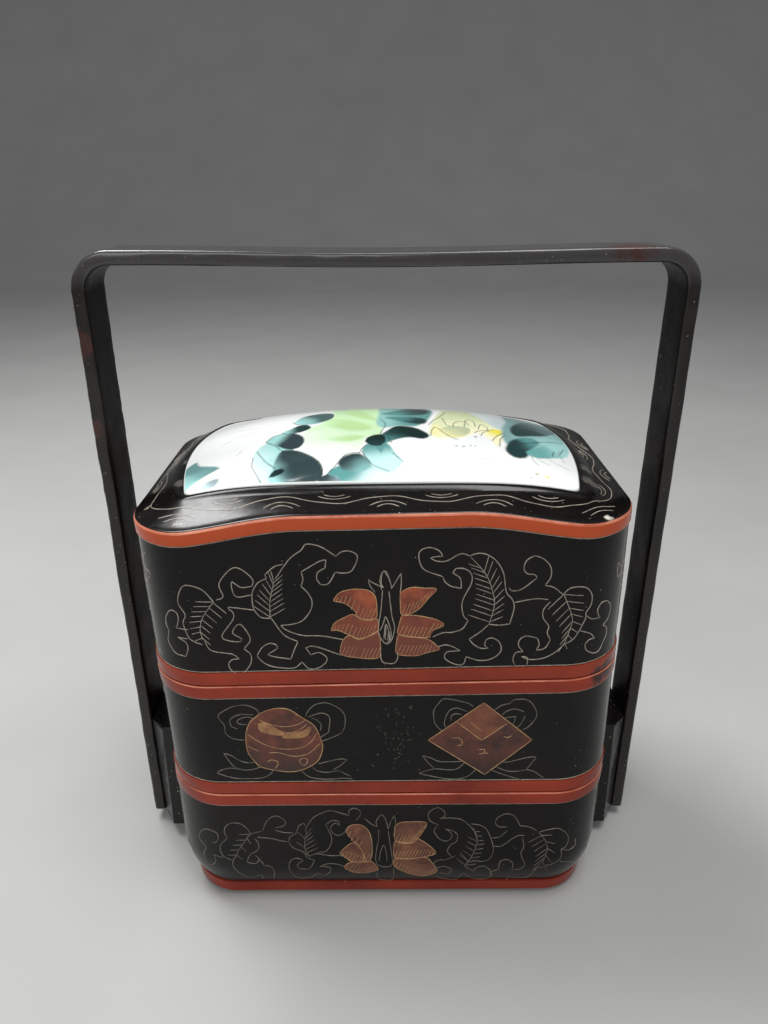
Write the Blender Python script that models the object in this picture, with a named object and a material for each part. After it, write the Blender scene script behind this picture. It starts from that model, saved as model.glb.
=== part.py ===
"""A lacquer stacking lunch box: two trays and a deep domed lid with a glazed
porcelain panel, carried by one bent handle strip that two side blocks hold
to the bottom tray.

The origin is at the middle of the foot, on the surface that the box stands
on. -Y is the front, +X is to the right seen from the front and +Z is up.
"""

import math

import bmesh
import bpy

MM = 0.001

# Plan of the trays and the lid, measured over the red bands
BOX_WIDTH = 207.0 * MM
BOX_DEPTH = 136.8 * MM
CORNER_RADIUS = 28.5 * MM
SMALLEST_RADIUS = 1.0 * MM

# Heights of the trays and the lid, each without the gap below it
BOTTOM_TIER_HEIGHT = 69.5 * MM
MIDDLE_TIER_HEIGHT = 60.3 * MM
LID_HEIGHT = 78.1 * MM
SEAM_GAP = 0.3 * MM

# Walls, floors and the foot
WALL = 5.0 * MM
BOARD = 4.5 * MM
FLOOR_FILLET = 2.0 * MM
FOOT_HEIGHT = 2.0 * MM
FOOT_INSET = 7.0 * MM

# The bottom tray rounds in towards the foot
TUCK = 5.5 * MM
TUCK_HEIGHT = 22.0 * MM
TUCK_POWER = 2.2
TUCK_STEPS = 4

# Red bands, which stand a little proud of the black walls
BAND_HEIGHT = 6.4 * MM
BAND_PROUD = 0.6 * MM
BAND_EDGE = 1.1 * MM
BAND_EDGE_ROUND = 0.3
LOWEST_BAND_EDGE = 0.6 * MM

# A tongue on each tray fits inside a rebate in the piece above
TONGUE_HEIGHT = 2.5 * MM
TONGUE_THICKNESS = 2.0 * MM
TONGUE_SIDE_CLEARANCE = 0.4 * MM
TONGUE_TOP_CLEARANCE = 0.3 * MM

# The lid's rim is level along the middle of the front and drops to the corners
RIM_DROP = 6.5 * MM
RIM_DROP_START = 0.32
RIM_DROP_END = 0.85
SHOULDER_EDGE = 2.2 * MM
SHOULDER_ROUND = 0.35
LID_BOARD = 4.0 * MM

# The porcelain panel and the lacquer lip round it
PANEL_WIDTH = 160.4 * MM
PANEL_DEPTH = 97.0 * MM
PANEL_THICKNESS = 4.0 * MM
PANEL_CORNER_RADIUS = 4.0 * MM
PANEL_LEFT_BOW = 7.0 * MM
PANEL_RIGHT_BOW = 6.0 * MM
PANEL_EDGE_ROUND = 0.7 * MM
PANEL_RISE = 6.5 * MM
PANEL_TILT = 0.013
PANEL_FRONT_ARCH = 5.0 * MM
PANEL_FRONT_ARCH_POWER = 4.0
PANEL_SIDE_ARCH = 2.3 * MM
PANEL_CROWN = 10.9 * MM
PANEL_CLEARANCE = 0.3 * MM
PANEL_BED = 0.4 * MM
LIP_WIDTH = 3.4 * MM
LIP_EXTRA_AT_SIDES = 3.0 * MM
LIP_RISE = 0.5 * MM

# The middle tray and the lid have settled to one side with age
LEAN = math.radians(0.95)

# Handle strip
HANDLE_HEIGHT = 299.9 * MM
HANDLE_THICKNESS = 6.0 * MM
HANDLE_DEPTH = 25.0 * MM
HANDLE_BEND = 16.5 * MM
HANDLE_EDGE = 1.2 * MM
HANDLE_SAG = 1.4 * MM
FRAME_CLEARANCE = 6.1 * MM

# Spacer blocks between the legs and the bottom tray
BLOCK_WIDTH = 19.8 * MM
BLOCK_DROP = 1.9 * MM
BLOCK_NOTCH_DROP = 7.0 * MM
BLOCK_TOP_DEPTH = 40.0 * MM
BLOCK_BASE_DEPTH = 48.0 * MM
BLOCK_CHAMFER = 7.0 * MM
BLOCK_EDGE = 0.8 * MM

# How finely the curves are cut
CORNER_STEPS = 6
LONG_STEPS = 12
SHORT_STEPS = 4
BEND_STEPS = 8
BAR_STEPS = 12
SLOPE_STEPS = 3
DOME_SCALES = (0.78, 0.55, 0.3)

# Levels that follow from the heights
BOTTOM_SEAM = BOTTOM_TIER_HEIGHT
MIDDLE_BASE = BOTTOM_SEAM + SEAM_GAP
MIDDLE_SEAM = MIDDLE_BASE + MIDDLE_TIER_HEIGHT
LID_BASE = MIDDLE_SEAM + SEAM_GAP
LID_RIM = LID_BASE + LID_HEIGHT
TONGUE_INSET = WALL - TONGUE_THICKNESS
REBATE_INSET = TONGUE_INSET - TONGUE_SIDE_CLEARANCE
REBATE_HEIGHT = TONGUE_HEIGHT + TONGUE_TOP_CLEARANCE
LOWEST_BAND_TOP = FOOT_HEIGHT + BAND_HEIGHT
BLOCK_TOP = BOTTOM_SEAM - BLOCK_DROP
BLOCK_NOTCH = BOTTOM_SEAM - BLOCK_NOTCH_DROP
HANDLE_WIDTH = BOX_WIDTH + 2 * (BLOCK_WIDTH + HANDLE_THICKNESS)
LID_CORNER = LID_RIM - RIM_DROP
PANEL_CORNER_HEIGHT = LID_CORNER + PANEL_RISE

# Colour and roughness of each finish
FINISHES = {
    "black_lacquer": ((0.012, 0.010, 0.010, 1.0), 0.18),
    "red_lacquer": ((0.36, 0.045, 0.018, 1.0), 0.28),
    "porcelain_glaze": ((0.86, 0.88, 0.85, 1.0), 0.08),
}


def clear_scene():
    for old in list(bpy.data.objects):
        bpy.data.objects.remove(old)


def make_material(name):
    colour, roughness = FINISHES[name]
    material = bpy.data.materials.new(name)
    material.use_nodes = True
    shader = material.node_tree.nodes["Principled BSDF"]
    shader.inputs["Base Color"].default_value = colour
    shader.inputs["Roughness"].default_value = roughness
    shader.inputs["Metallic"].default_value = 0.0
    material.diffuse_color = colour
    return material


def smooth_step(value):
    value = min(max(value, 0.0), 1.0)
    return value * value * (3.0 - 2.0 * value)


def outline(half_width, half_depth, radius):
    """Points round a rectangle with round corners, counter-clockwise from
    the right end of the front."""
    radius = max(radius, SMALLEST_RADIUS)
    corners = []
    for quarter, (sign_x, sign_y) in enumerate(((1, -1), (1, 1), (-1, 1), (-1, -1))):
        centre_x = sign_x * (half_width - radius)
        centre_y = sign_y * (half_depth - radius)
        arc = []
        for step in range(CORNER_STEPS + 1):
            angle = math.radians(90.0) * (quarter - 1 + step / CORNER_STEPS)
            arc.append((centre_x + radius * math.cos(angle), centre_y + radius * math.sin(angle)))
        corners.append(arc)
    points = []
    for quarter, arc in enumerate(corners):
        points += arc
        start_x, start_y = arc[-1]
        end_x, end_y = corners[(quarter + 1) % 4][0]
        steps = LONG_STEPS if quarter % 2 else SHORT_STEPS
        for step in range(1, steps):
            share = step / steps
            points.append((start_x + share * (end_x - start_x), start_y + share * (end_y - start_y)))
    return points


def box_outline(inset):
    return outline(BOX_WIDTH / 2 - inset, BOX_DEPTH / 2 - inset, CORNER_RADIUS - inset)


def side_bow(x, y):
    """How far the panel's short side bows out level with a point."""
    bow = PANEL_LEFT_BOW if x < 0.0 else PANEL_RIGHT_BOW
    return bow * max(1.0 - (y / (PANEL_DEPTH / 2)) ** 2, 0.0)


def panel_outline(outset, extra_at_sides=0.0):
    half_width = PANEL_WIDTH / 2 + outset + extra_at_sides
    half_depth = PANEL_DEPTH / 2 + outset
    bowed = []
    for x, y in outline(half_width, half_depth, PANEL_CORNER_RADIUS + outset):
        share = smooth_step(2.0 * abs(x) / half_width - 1.0)
        bowed.append((x + math.copysign(share * side_bow(x, y), x), y))
    return bowed


def rim_height(x):
    """Height of the lid's rim above a point of its outline."""
    share = abs(x) / (BOX_WIDTH / 2)
    drop = smooth_step((share - RIM_DROP_START) / (RIM_DROP_END - RIM_DROP_START))
    return LID_RIM - RIM_DROP * drop


def panel_height(x, y):
    """Top of the pillow-shaped porcelain panel, which sits a little askew."""
    across = abs(x) / (PANEL_WIDTH / 2 + side_bow(x, y))
    along = abs(y) / (PANEL_DEPTH / 2)
    rise = PANEL_FRONT_ARCH * (1.0 - across**PANEL_FRONT_ARCH_POWER)
    rise += PANEL_SIDE_ARCH * (1.0 - along**2)
    rise += PANEL_CROWN * (1.0 - across**2) * (1.0 - along**2)
    return PANEL_CORNER_HEIGHT + rise - PANEL_TILT * x


def tuck(height):
    """How far the bottom tray's outside is drawn in at a height."""
    share = (LOWEST_BAND_TOP + TUCK_HEIGHT - height) / TUCK_HEIGHT
    return TUCK * min(max(share, 0.0), 1.0) ** TUCK_POWER


def leaned(point):
    """Turns a point about the bottom seam: more and more up the middle tray,
    and by the whole lean above it."""
    x, y, z = point
    share = min(max((z - BOTTOM_SEAM) / (MIDDLE_SEAM - BOTTOM_SEAM), 0.0), 1.0)
    angle = -LEAN * share
    above = z - BOTTOM_SEAM
    return (
        x * math.cos(angle) + above * math.sin(angle),
        y,
        BOTTOM_SEAM - x * math.sin(angle) + above * math.cos(angle),
    )


def level_ring(inset, height):
    return [(x, y, height) for x, y in box_outline(inset)]


def rim_ring(inset, below_rim):
    return [(x, y, rim_height(x) - below_rim) for x, y in box_outline(inset)]


def panel_ring(outset, below_panel, extra_at_sides=0.0):
    points = panel_outline(outset, extra_at_sides)
    return [(x, y, panel_height(x, y) - below_panel) for x, y in points]


def dome_rings(outset, below_panel):
    """Rings that close in on the middle of the panel, ending in one point."""
    rings = []
    for scale in DOME_SCALES:
        ring = []
        for edge_x, edge_y in panel_outline(outset):
            x = edge_x * scale
            y = edge_y * scale
            ring.append((x, y, panel_height(x, y) - below_panel))
        rings.append(ring)
    rings.append([(0.0, 0.0, panel_height(0.0, 0.0) - below_panel)])
    return rings


def between_rings(start, end, share):
    ring = []
    for (x0, y0, z0), (x1, y1, z1) in zip(start, end):
        ring.append((x0 + share * (x1 - x0), y0 + share * (y1 - y0), z0 + share * (z1 - z0)))
    return ring


def reach(ring):
    """The larger of two rings is the outer one. Faces are always split from
    the outer ring's point to the inner ring's next one, so that two surfaces
    that lie on each other are cut alike."""
    return sum(abs(vert.co.x) + abs(vert.co.y) for vert in ring)


def loft(name, strips, collection, place=None):
    """One closed solid from rings that share their point order. Each strip
    is (ring, finish of the faces up to the next ring). A ring of one point
    closes an end, and any other end is closed by one flat face."""
    mesh = bpy.data.meshes.new(name)
    shape = bmesh.new()
    finishes = sorted({finish for _, finish in strips})
    rings = []
    for ring, _ in strips:
        points = [place(point) for point in ring] if place else ring
        rings.append([shape.verts.new(point) for point in points])
    for index in range(len(rings) - 1):
        lower, upper = rings[index], rings[index + 1]
        count = max(len(lower), len(upper))
        for step in range(count):
            after = (step + 1) % count
            if len(lower) == 1:
                faces = [(lower[0], upper[after], upper[step])]
            elif len(upper) == 1:
                faces = [(lower[step], lower[after], upper[0])]
            elif reach(lower) >= reach(upper):
                faces = [(lower[step], lower[after], upper[after])]
                faces += [(lower[step], upper[after], upper[step])]
            else:
                faces = [(lower[step], lower[after], upper[step])]
                faces += [(lower[after], upper[after], upper[step])]
            for corners in faces:
                face = shape.faces.new(corners)
                face.material_index = finishes.index(strips[index][1])
    for ring, flipped in ((rings[0], True), (rings[-1], False)):
        if len(ring) > 1:
            face = shape.faces.new(reversed(ring) if flipped else ring)
            face.material_index = finishes.index(strips[0 if flipped else -1][1])
    bmesh.ops.recalc_face_normals(shape, faces=shape.faces)
    shape.to_mesh(mesh)
    shape.free()
    for finish in finishes:
        mesh.materials.append(bpy.data.materials[finish])
    mesh.shade_smooth()
    mesh.set_sharp_from_angle(angle=math.radians(35.0))
    piece = bpy.data.objects.new(name, mesh)
    collection.objects.link(piece)
    return piece


def seam_band(base, top, open_edge_up):
    """(inset, height) up a red band: square where it meets the wall, and
    rounded at the edge that meets the next piece."""
    rounding = BAND_EDGE_ROUND * BAND_EDGE
    if open_edge_up:
        square = [(BAND_PROUD, base), (0.0, base)]
        return square + [(0.0, top - BAND_EDGE), (rounding, top - rounding), (BAND_EDGE, top)]
    rounded = [(BAND_EDGE, base), (rounding, base + rounding), (0.0, base + BAND_EDGE)]
    return rounded + [(0.0, top), (BAND_PROUD, top)]


def finish_strips(profile, finish):
    return [(level_ring(inset, height), finish) for inset, height in profile]


def tray_rim(top, floor, draw_in):
    """From the wall up the top band, over the tongue and down inside to the
    floor."""
    band = seam_band(top - BAND_HEIGHT, top, open_edge_up=True)
    strips = finish_strips(band, "red_lacquer")
    inside = [
        (TONGUE_INSET, top),
        (TONGUE_INSET, top + TONGUE_HEIGHT),
        (WALL, top + TONGUE_HEIGHT),
    ]
    lowest = floor + FLOOR_FILLET
    steps = TUCK_STEPS if draw_in(lowest) > 0.0 else 0
    for step in range(steps):
        height = LOWEST_BAND_TOP + TUCK_HEIGHT * (1.0 - step / steps)
        inside.append((WALL + draw_in(height), height))
    inside.append((WALL + draw_in(lowest), lowest))
    inside.append((WALL + draw_in(floor) + FLOOR_FILLET, floor))
    return strips + finish_strips(inside, "black_lacquer")


def make_bottom_tier(collection):
    foot_inset = TUCK + FOOT_INSET
    foot = [(foot_inset, 0.0), (foot_inset, FOOT_HEIGHT)]
    band = [
        (TUCK + LOWEST_BAND_EDGE, FOOT_HEIGHT),
        (TUCK, FOOT_HEIGHT + LOWEST_BAND_EDGE),
        (TUCK, LOWEST_BAND_TOP),
    ]
    wall = [(TUCK + BAND_PROUD, LOWEST_BAND_TOP)]
    for step in range(1, TUCK_STEPS + 1):
        height = LOWEST_BAND_TOP + TUCK_HEIGHT * step / TUCK_STEPS
        wall.append((tuck(height) + BAND_PROUD, height))
    strips = finish_strips(foot, "black_lacquer")
    strips += finish_strips(band, "red_lacquer")
    strips += finish_strips(wall, "black_lacquer")
    strips += tray_rim(BOTTOM_SEAM, FOOT_HEIGHT + BOARD, tuck)
    return loft("bottom_tier", strips, collection)


def rebated_skirt(base):
    """From the rebate's ceiling down to the bottom edge and up over the band
    to the wall."""
    rebate = [(REBATE_INSET, base + REBATE_HEIGHT), (REBATE_INSET, base)]
    band = seam_band(base, base + BAND_HEIGHT, open_edge_up=False)
    strips = finish_strips(rebate, "black_lacquer")
    strips += finish_strips(band[:-1], "red_lacquer")
    return strips + finish_strips(band[-1:], "black_lacquer")


def make_middle_tier(collection):
    floor = MIDDLE_BASE + REBATE_HEIGHT + BOARD
    strips = rebated_skirt(MIDDLE_BASE)
    strips += tray_rim(MIDDLE_SEAM, floor, lambda height: 0.0)
    return loft("middle_tier", strips, collection, place=leaned)


def lid_ceiling():
    """The inside of the lid, from its middle out to the top of the wall."""
    below_panel = PANEL_THICKNESS + PANEL_BED + LID_BOARD
    rings = dome_rings(PANEL_CLEARANCE, below_panel)[::-1]
    rings.append(panel_ring(PANEL_CLEARANCE, below_panel))
    edge = BAND_HEIGHT + LID_BOARD
    rings.append(rim_ring(WALL + FLOOR_FILLET, edge))
    rings.append(rim_ring(WALL, edge + FLOOR_FILLET))
    return rings


def lid_band():
    """The arched red band, from the wall up to its rounded top edge."""
    rounding = SHOULDER_ROUND * SHOULDER_EDGE
    return [
        rim_ring(BAND_PROUD, BAND_HEIGHT),
        rim_ring(0.0, BAND_HEIGHT),
        rim_ring(0.0, SHOULDER_EDGE),
        rim_ring(rounding, rounding),
    ]


def lid_shoulder():
    """The black border up to the lip that frames the panel, and the lip."""
    edge = rim_ring(SHOULDER_EDGE, 0.0)
    outer = PANEL_CLEARANCE + LIP_WIDTH
    lip_foot = panel_ring(outer, LIP_RISE, LIP_EXTRA_AT_SIDES)
    rings = [between_rings(edge, lip_foot, step / SLOPE_STEPS) for step in range(SLOPE_STEPS + 1)]
    middle = PANEL_CLEARANCE + LIP_WIDTH / 2
    rings.append(panel_ring(middle, -LIP_RISE, LIP_EXTRA_AT_SIDES / 2))
    rings.append(panel_ring(PANEL_CLEARANCE, 0.0))
    return rings


def make_lid(collection):
    seat_depth = PANEL_THICKNESS + PANEL_BED
    inside = lid_ceiling()
    inside.append(level_ring(WALL, LID_BASE + REBATE_HEIGHT))
    strips = [(ring, "black_lacquer") for ring in inside]
    strips += rebated_skirt(LID_BASE)
    strips += [(ring, "red_lacquer") for ring in lid_band()]
    strips += [(ring, "black_lacquer") for ring in lid_shoulder()]
    strips.append((panel_ring(PANEL_CLEARANCE, seat_depth), "black_lacquer"))
    strips += [(ring, "black_lacquer") for ring in dome_rings(PANEL_CLEARANCE, seat_depth)]
    return loft("lid", strips, collection, place=leaned)


def make_panel(collection):
    underside = dome_rings(0.0, PANEL_THICKNESS)[::-1]
    edge = [
        panel_ring(0.0, PANEL_THICKNESS),
        panel_ring(0.0, PANEL_EDGE_ROUND),
        panel_ring(-PANEL_EDGE_ROUND, 0.0),
    ]
    rings = underside + edge + dome_rings(0.0, 0.0)
    strips = [(ring, "porcelain_glaze") for ring in rings]
    return loft("porcelain_panel", strips, collection, place=leaned)


def handle_path():
    """(x, z, outward x, outward z) along the middle of the strip, from the
    foot of the left leg over the top to the foot of the right one."""
    half_span = (HANDLE_WIDTH - HANDLE_THICKNESS) / 2
    middle_height = HANDLE_HEIGHT - HANDLE_THICKNESS / 2
    bend = HANDLE_BEND - HANDLE_THICKNESS / 2
    path = [(-half_span, FRAME_CLEARANCE + HANDLE_EDGE, -1.0, 0.0)]
    for step in range(BEND_STEPS + 1):
        angle = math.radians(180.0 - 90.0 * step / BEND_STEPS)
        out_x, out_z = math.cos(angle), math.sin(angle)
        centre_x, centre_z = -half_span + bend, middle_height - bend
        path.append((centre_x + bend * out_x, centre_z + bend * out_z, out_x, out_z))
    bar = 2 * (half_span - bend)
    for step in range(1, BAR_STEPS):
        share = step / BAR_STEPS
        sag = HANDLE_SAG * math.sin(math.pi * share) ** 2
        path.append((-half_span + bend + bar * share, middle_height - sag, 0.0, 1.0))
    path += [(-x, z, -out_x, out_z) for x, z, out_x, out_z in path[BEND_STEPS + 1 :: -1]]
    return path


def make_handle(collection):
    curve = bpy.data.curves.new("handle", "CURVE")
    curve.dimensions = "2D"
    curve.fill_mode = "BOTH"
    curve.extrude = HANDLE_DEPTH / 2 - HANDLE_EDGE
    curve.bevel_depth = HANDLE_EDGE
    curve.bevel_resolution = 1
    reach = HANDLE_THICKNESS / 2 - HANDLE_EDGE
    path = handle_path()
    outer = [(x + reach * out_x, z + reach * out_z) for x, z, out_x, out_z in path]
    inner = [(x - reach * out_x, z - reach * out_z) for x, z, out_x, out_z in path]
    points = outer + inner[::-1]
    spline = curve.splines.new("POLY")
    spline.points.add(len(points) - 1)
    for point, (x, z) in zip(spline.points, points):
        point.co = (x, z, 0.0, 1.0)
    spline.use_cyclic_u = True
    curve.materials.append(bpy.data.materials["black_lacquer"])
    piece = bpy.data.objects.new("handle", curve)
    piece.rotation_euler = (math.radians(90.0), 0.0, 0.0)
    collection.objects.link(piece)
    return piece


def block_side_inset(height):
    """How far in the tray's side lies beside a block: less at its bands."""
    if height <= LOWEST_BAND_TOP + SEAM_GAP:
        return TUCK
    if height > BLOCK_NOTCH:
        return 0.0
    return tuck(height) + BAND_PROUD


def block_section(side, height, shrink):
    """Plan of a spacer block at a height: as deep as the strip at the leg,
    wider at the tray, whose side it follows."""
    share = (height - FRAME_CLEARANCE) / (BLOCK_TOP - FRAME_CLEARANCE)
    depth = BLOCK_BASE_DEPTH + share * (BLOCK_TOP_DEPTH - BLOCK_BASE_DEPTH)
    half = depth / 2 - shrink
    tray_side = BOX_WIDTH / 2 - block_side_inset(height) + SEAM_GAP
    leg_side = HANDLE_WIDTH / 2 - HANDLE_THICKNESS - SEAM_GAP
    leg_half = min(HANDLE_DEPTH / 2, half)
    corners = [
        (leg_side, -leg_half),
        (leg_side, leg_half),
        (leg_side - BLOCK_CHAMFER, half),
        (tray_side + shrink, half),
        (tray_side + shrink, -half),
        (leg_side - BLOCK_CHAMFER, -half),
    ]
    section = [(side * x, y, height) for x, y in corners]
    return section if side > 0 else section[::-1]


def make_spacer_block(name, side, collection):
    heights = [FRAME_CLEARANCE + BLOCK_EDGE, LOWEST_BAND_TOP + SEAM_GAP]
    for step in range(1, TUCK_STEPS + 1):
        heights.append(LOWEST_BAND_TOP + TUCK_HEIGHT * step / TUCK_STEPS)
    heights += [BLOCK_NOTCH, BLOCK_NOTCH + SEAM_GAP, BLOCK_TOP - BLOCK_EDGE]
    sections = [block_section(side, FRAME_CLEARANCE, BLOCK_EDGE)]
    sections += [block_section(side, height, 0.0) for height in heights]
    sections.append(block_section(side, BLOCK_TOP, BLOCK_EDGE))
    strips = [(section, "black_lacquer") for section in sections]
    return loft(name, strips, collection)


def main():
    clear_scene()
    for name in FINISHES:
        make_material(name)
    collection = bpy.data.collections.new("lacquer_stacking_lunch_box")
    bpy.context.scene.collection.children.link(collection)
    make_bottom_tier(collection)
    make_middle_tier(collection)
    make_lid(collection)
    make_panel(collection)
    make_handle(collection)
    make_spacer_block("left_spacer_block", -1.0, collection)
    make_spacer_block("right_spacer_block", 1.0, collection)


main()
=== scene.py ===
"""The looks of the lacquer stacking lunch box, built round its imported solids.

Lengths are in millimetres until a mesh is made. -Y is the front, +X is to the
right seen from the front and +Z is up.
"""

import math

import bmesh
import bpy
import numpy as np
from mathutils import Matrix, Vector

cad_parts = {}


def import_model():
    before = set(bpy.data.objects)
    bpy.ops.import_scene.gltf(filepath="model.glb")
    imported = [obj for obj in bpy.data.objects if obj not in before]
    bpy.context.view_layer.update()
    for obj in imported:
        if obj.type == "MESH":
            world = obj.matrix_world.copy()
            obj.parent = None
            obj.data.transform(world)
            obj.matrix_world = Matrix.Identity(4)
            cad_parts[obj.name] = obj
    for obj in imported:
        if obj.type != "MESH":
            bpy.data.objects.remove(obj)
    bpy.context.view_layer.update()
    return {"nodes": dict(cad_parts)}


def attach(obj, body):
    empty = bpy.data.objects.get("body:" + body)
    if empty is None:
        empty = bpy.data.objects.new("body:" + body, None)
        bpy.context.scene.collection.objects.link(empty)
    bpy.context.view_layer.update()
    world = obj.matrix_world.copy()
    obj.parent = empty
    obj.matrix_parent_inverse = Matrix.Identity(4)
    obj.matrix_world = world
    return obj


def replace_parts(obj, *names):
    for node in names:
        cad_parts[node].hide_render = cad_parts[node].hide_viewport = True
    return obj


MM = 0.001

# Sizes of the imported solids
HALF_WIDTH = 103.5
HALF_DEPTH = 68.4
RADIUS = 28.5
WALL = 5.0
BAND = 6.4
BAND_PROUD = 0.6
BAND_EDGE = 1.1
FOOT = 2.0
FOOT_INSET = 12.5
FLOOR_BOARD = 4.5
TUCK = 5.5
TUCK_HEIGHT = 22.0
TUCK_POWER = 2.2
BOTTOM_SEAM = 69.5
MIDDLE_BASE = 69.8
MIDDLE_SEAM = 130.1
LID_BASE = 130.4
LID_RIM = 208.5
RIM_DROP = 6.5
RIM_DROP_START = 0.32
RIM_DROP_END = 0.85
SHOULDER = 2.2
TONGUE_INSET = 3.0
TONGUE_HEIGHT = 2.5
REBATE_INSET = 2.6
REBATE_HEIGHT = 2.8
LEAN = math.radians(0.95)
PANEL_HALF_WIDTH = 80.2
PANEL_HALF_DEPTH = 48.5
PANEL_RADIUS = 4.0
PANEL_THICKNESS = 4.0
PANEL_BED = 0.4
PANEL_LEFT_BOW = 7.0
PANEL_RIGHT_BOW = 6.0
PANEL_CORNER_HEIGHT = 208.5
PANEL_TILT = 0.013
PANEL_FRONT_ARCH = 5.0
PANEL_FRONT_ARCH_POWER = 4.0
PANEL_SIDE_ARCH = 2.3
PANEL_CROWN = 10.9
PANEL_CLEARANCE = 0.3
LIP_WIDTH = 3.4
LIP_EXTRA = 3.0
LIP_RISE = 0.5
LID_BOARD = 4.0
HANDLE_WIDTH = 258.6
HANDLE_HEIGHT = 299.9
HANDLE_THICKNESS = 6.0
HANDLE_DEPTH = 25.0
HANDLE_BEND = 16.5
HANDLE_SAG = 1.4
FRAME_CLEARANCE = 6.1

# The waves of the hand-laid walls
UNEVENNESS = 0.09
UNEVEN_WAVE = 34.0
WAVE_SEEDS = {"bottom": 3, "middle": 5, "lid": 8}

# The middle of a side, measured round the wall from the middle of the front,
# and how much of the front's motifs a side takes
SIDE_MIDDLE = 158.74
SIDE_REACH = 62.0
JAR_MIDDLE = -46.0
JAR_REACH = 34.0
SCRATCH_MIDDLE = 4.0
SCRATCH_HEIGHTS = (12.0, 48.0)

# Small edges: where a band stands out from a wall, at the tongue and the foot,
# and in the coves of the inside
STEP_EDGE = 0.05
STEP_RUN = 0.4
SMALL_EDGE = 0.3
FOOT_EDGE = 1.2
COVE = 2.0
INSIDE_DROP = 4.0

# How finely the pieces are cut
CORNER_STEPS = 20
LONG_STEPS = 64
SHORT_STEPS = 32
ROUND_STEPS = 5
FOOT_STEPS = 4
SHOULDER_STEPS = 6
TUCK_STEPS = 12
BOTTOM_STEPS = 11
MIDDLE_STEPS = 15
LID_STEPS = 22
INSIDE_STEPS = 8
BORDER_STEPS = 8
LIP_STEPS = 6
DOME_STEPS = 8
SHARP_ANGLE = 38.0

# The dressed handle: the rounding of its edges, its steps, and its lumps as
# swing, wavelength and seed, with finer ones high on the left leg. Depthwise
# the lumps have a share of their swing and lag by some points.
HANDLE_ROUNDING = 1.5
LEG_STEPS = 89
BEND_STEPS = 24
BAR_STEPS = 70
EDGE_STEPS = 4
SIDE_STEPS = 6
HANDLE_SHARP_ANGLE = 50.0
HANDLE_LUMPS = ((0.12, 46.0, 21), (0.10, 13.0, 22))
LEFT_LEG_LUMPS = (0.16, 5.0, 23)
LEFT_LEG = -130.0
LUMPS_FROM = 150.0
DEPTH_SHARE, DEPTH_LAG = 0.8, 7

# The dressed panel: its grid, the drop of its rounded edge from the grid's rim
# as (out, down), its slight waves as swing, wavelength and seed, and its bare
# edge and back
PANEL_COLUMNS, PANEL_ROWS = 380, 210
PANEL_EDGE = 0.9
PANEL_CORNER = 3.4
PANEL_EDGE_STEPS = ((0.35, 0.1), (0.65, 0.35), (0.8, 0.75), (0.8, PANEL_THICKNESS))
PANEL_WAVES = (0.06, 50.0, 41)
PANEL_HOLLOW = 3.0
EDGE_TINT = (214, 218, 214)
BACK_TINT = (206, 208, 202)

# Incised lines: how far they stand out, how wide their top and their ends are
# as shares, their sampling, and the line along each red band
LINE_HEIGHT = 0.12
LINE_TOP = 0.6
LINE_TAPER = 0.45
LINE_STEP = 0.9
BOLD, FINE = 0.5, 0.42
BAND_LINE_GAP = 0.45

# Inlays: how far they stand out, their thickness and the grid that cuts them
INLAY_STEP = 1.0
INLAY_LIFT = 0.06
UPPER_LIFT = 0.09
INLAY_THICKNESS = 0.12
INLAY_GRID = 3.0

# The veins of the leaves and the hatching of the petals
RIB_STEP = 0.4
VEINS_END = 0.97
HATCH_SPACING = 1.6
HATCH_LEAN = 0.2
HATCH_FOOT = 0.1
HATCH_SHARE = 0.6
HATCH_REACH = 5.0
HATCH_WIDTH = 0.7

# The scratches between the jar and the lozenge
SCRATCH_COUNT = 60
SCRATCH_SPREAD = 4.5
SCRATCH_LENGTHS = (0.3, 1.5)
SCRATCH_WIDTHS = (0.12, 0.22)
SCRATCH_SLANT = 0.6

# The painting: how finely its outlines and ink lines are drawn, its ink, and
# the clouding of its ground and of its colours as swing, wavelength and seed
SHAPE_STEP = 2.0
INK_STEP = 1.5
INK_WIDTH = 0.42
INK_STRENGTH = 0.8
GROUND_CLOUDS = (0.03, 60.0, 31)
COLOUR_CLOUDS = (0.12, 9.0, 33)
SPECK_SQUASH = 1.3

# The studio in metres: the floor's front and back edge, the radius of its
# sweep up behind the box, its height there and its half width
FLOOR_FRONT = -4.0
FLOOR_BACK = 2.2
SWEEP_RADIUS = 1.5
SWEEP_STEPS = 16
FLOOR_TOP = 5.0
FLOOR_HALF_WIDTH = 6.0

# Lights in metres: name, place, aim, width and height, and power
LIGHTS = (
    ("key", (-0.52, 0.31, 1.28), (-0.05, 0.0, 0.2), (0.55, 0.42), 15.0),
    ("front_fill", (-0.45, -1.3, 0.85), (0.0, 0.0, 0.12), (1.0, 0.7), 8.5),
    ("top", (0.25, -0.25, 1.45), (0.0, 0.0, 0.15), (0.6, 0.6), 10.0),
)
SKY = (0.82, 0.84, 0.86, 1.0)
SKY_STRENGTH = 0.33

# The camera that fits the photograph, whose frame is 768 by 1024
FOCAL_PIXELS = 765.285
FRAME_PIXELS = 1024.0
SENSOR = 36.0
CAMERA_PLACE = (-1.5, -335.6, 325.9)
CAMERA_PITCH = 23.60
CAMERA_ROLL = -0.36

# The signs of x and y in the four corners, counter-clockwise
QUARTERS = ((1, -1), (1, 1), (-1, 1), (-1, -1))


def smooth_step(value):
    """A share of 0 to 1 with soft ends."""
    value = np.clip(value, 0.0, 1.0)
    return value * value * (3.0 - 2.0 * value)


def linear(red, green, blue):
    """A colour of 0 to 255 as the shader takes it."""
    shares = np.array([red, green, blue]) / 255.0
    return np.where(shares <= 0.04045, shares / 12.92, ((shares + 0.055) / 1.055) ** 2.4)


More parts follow.
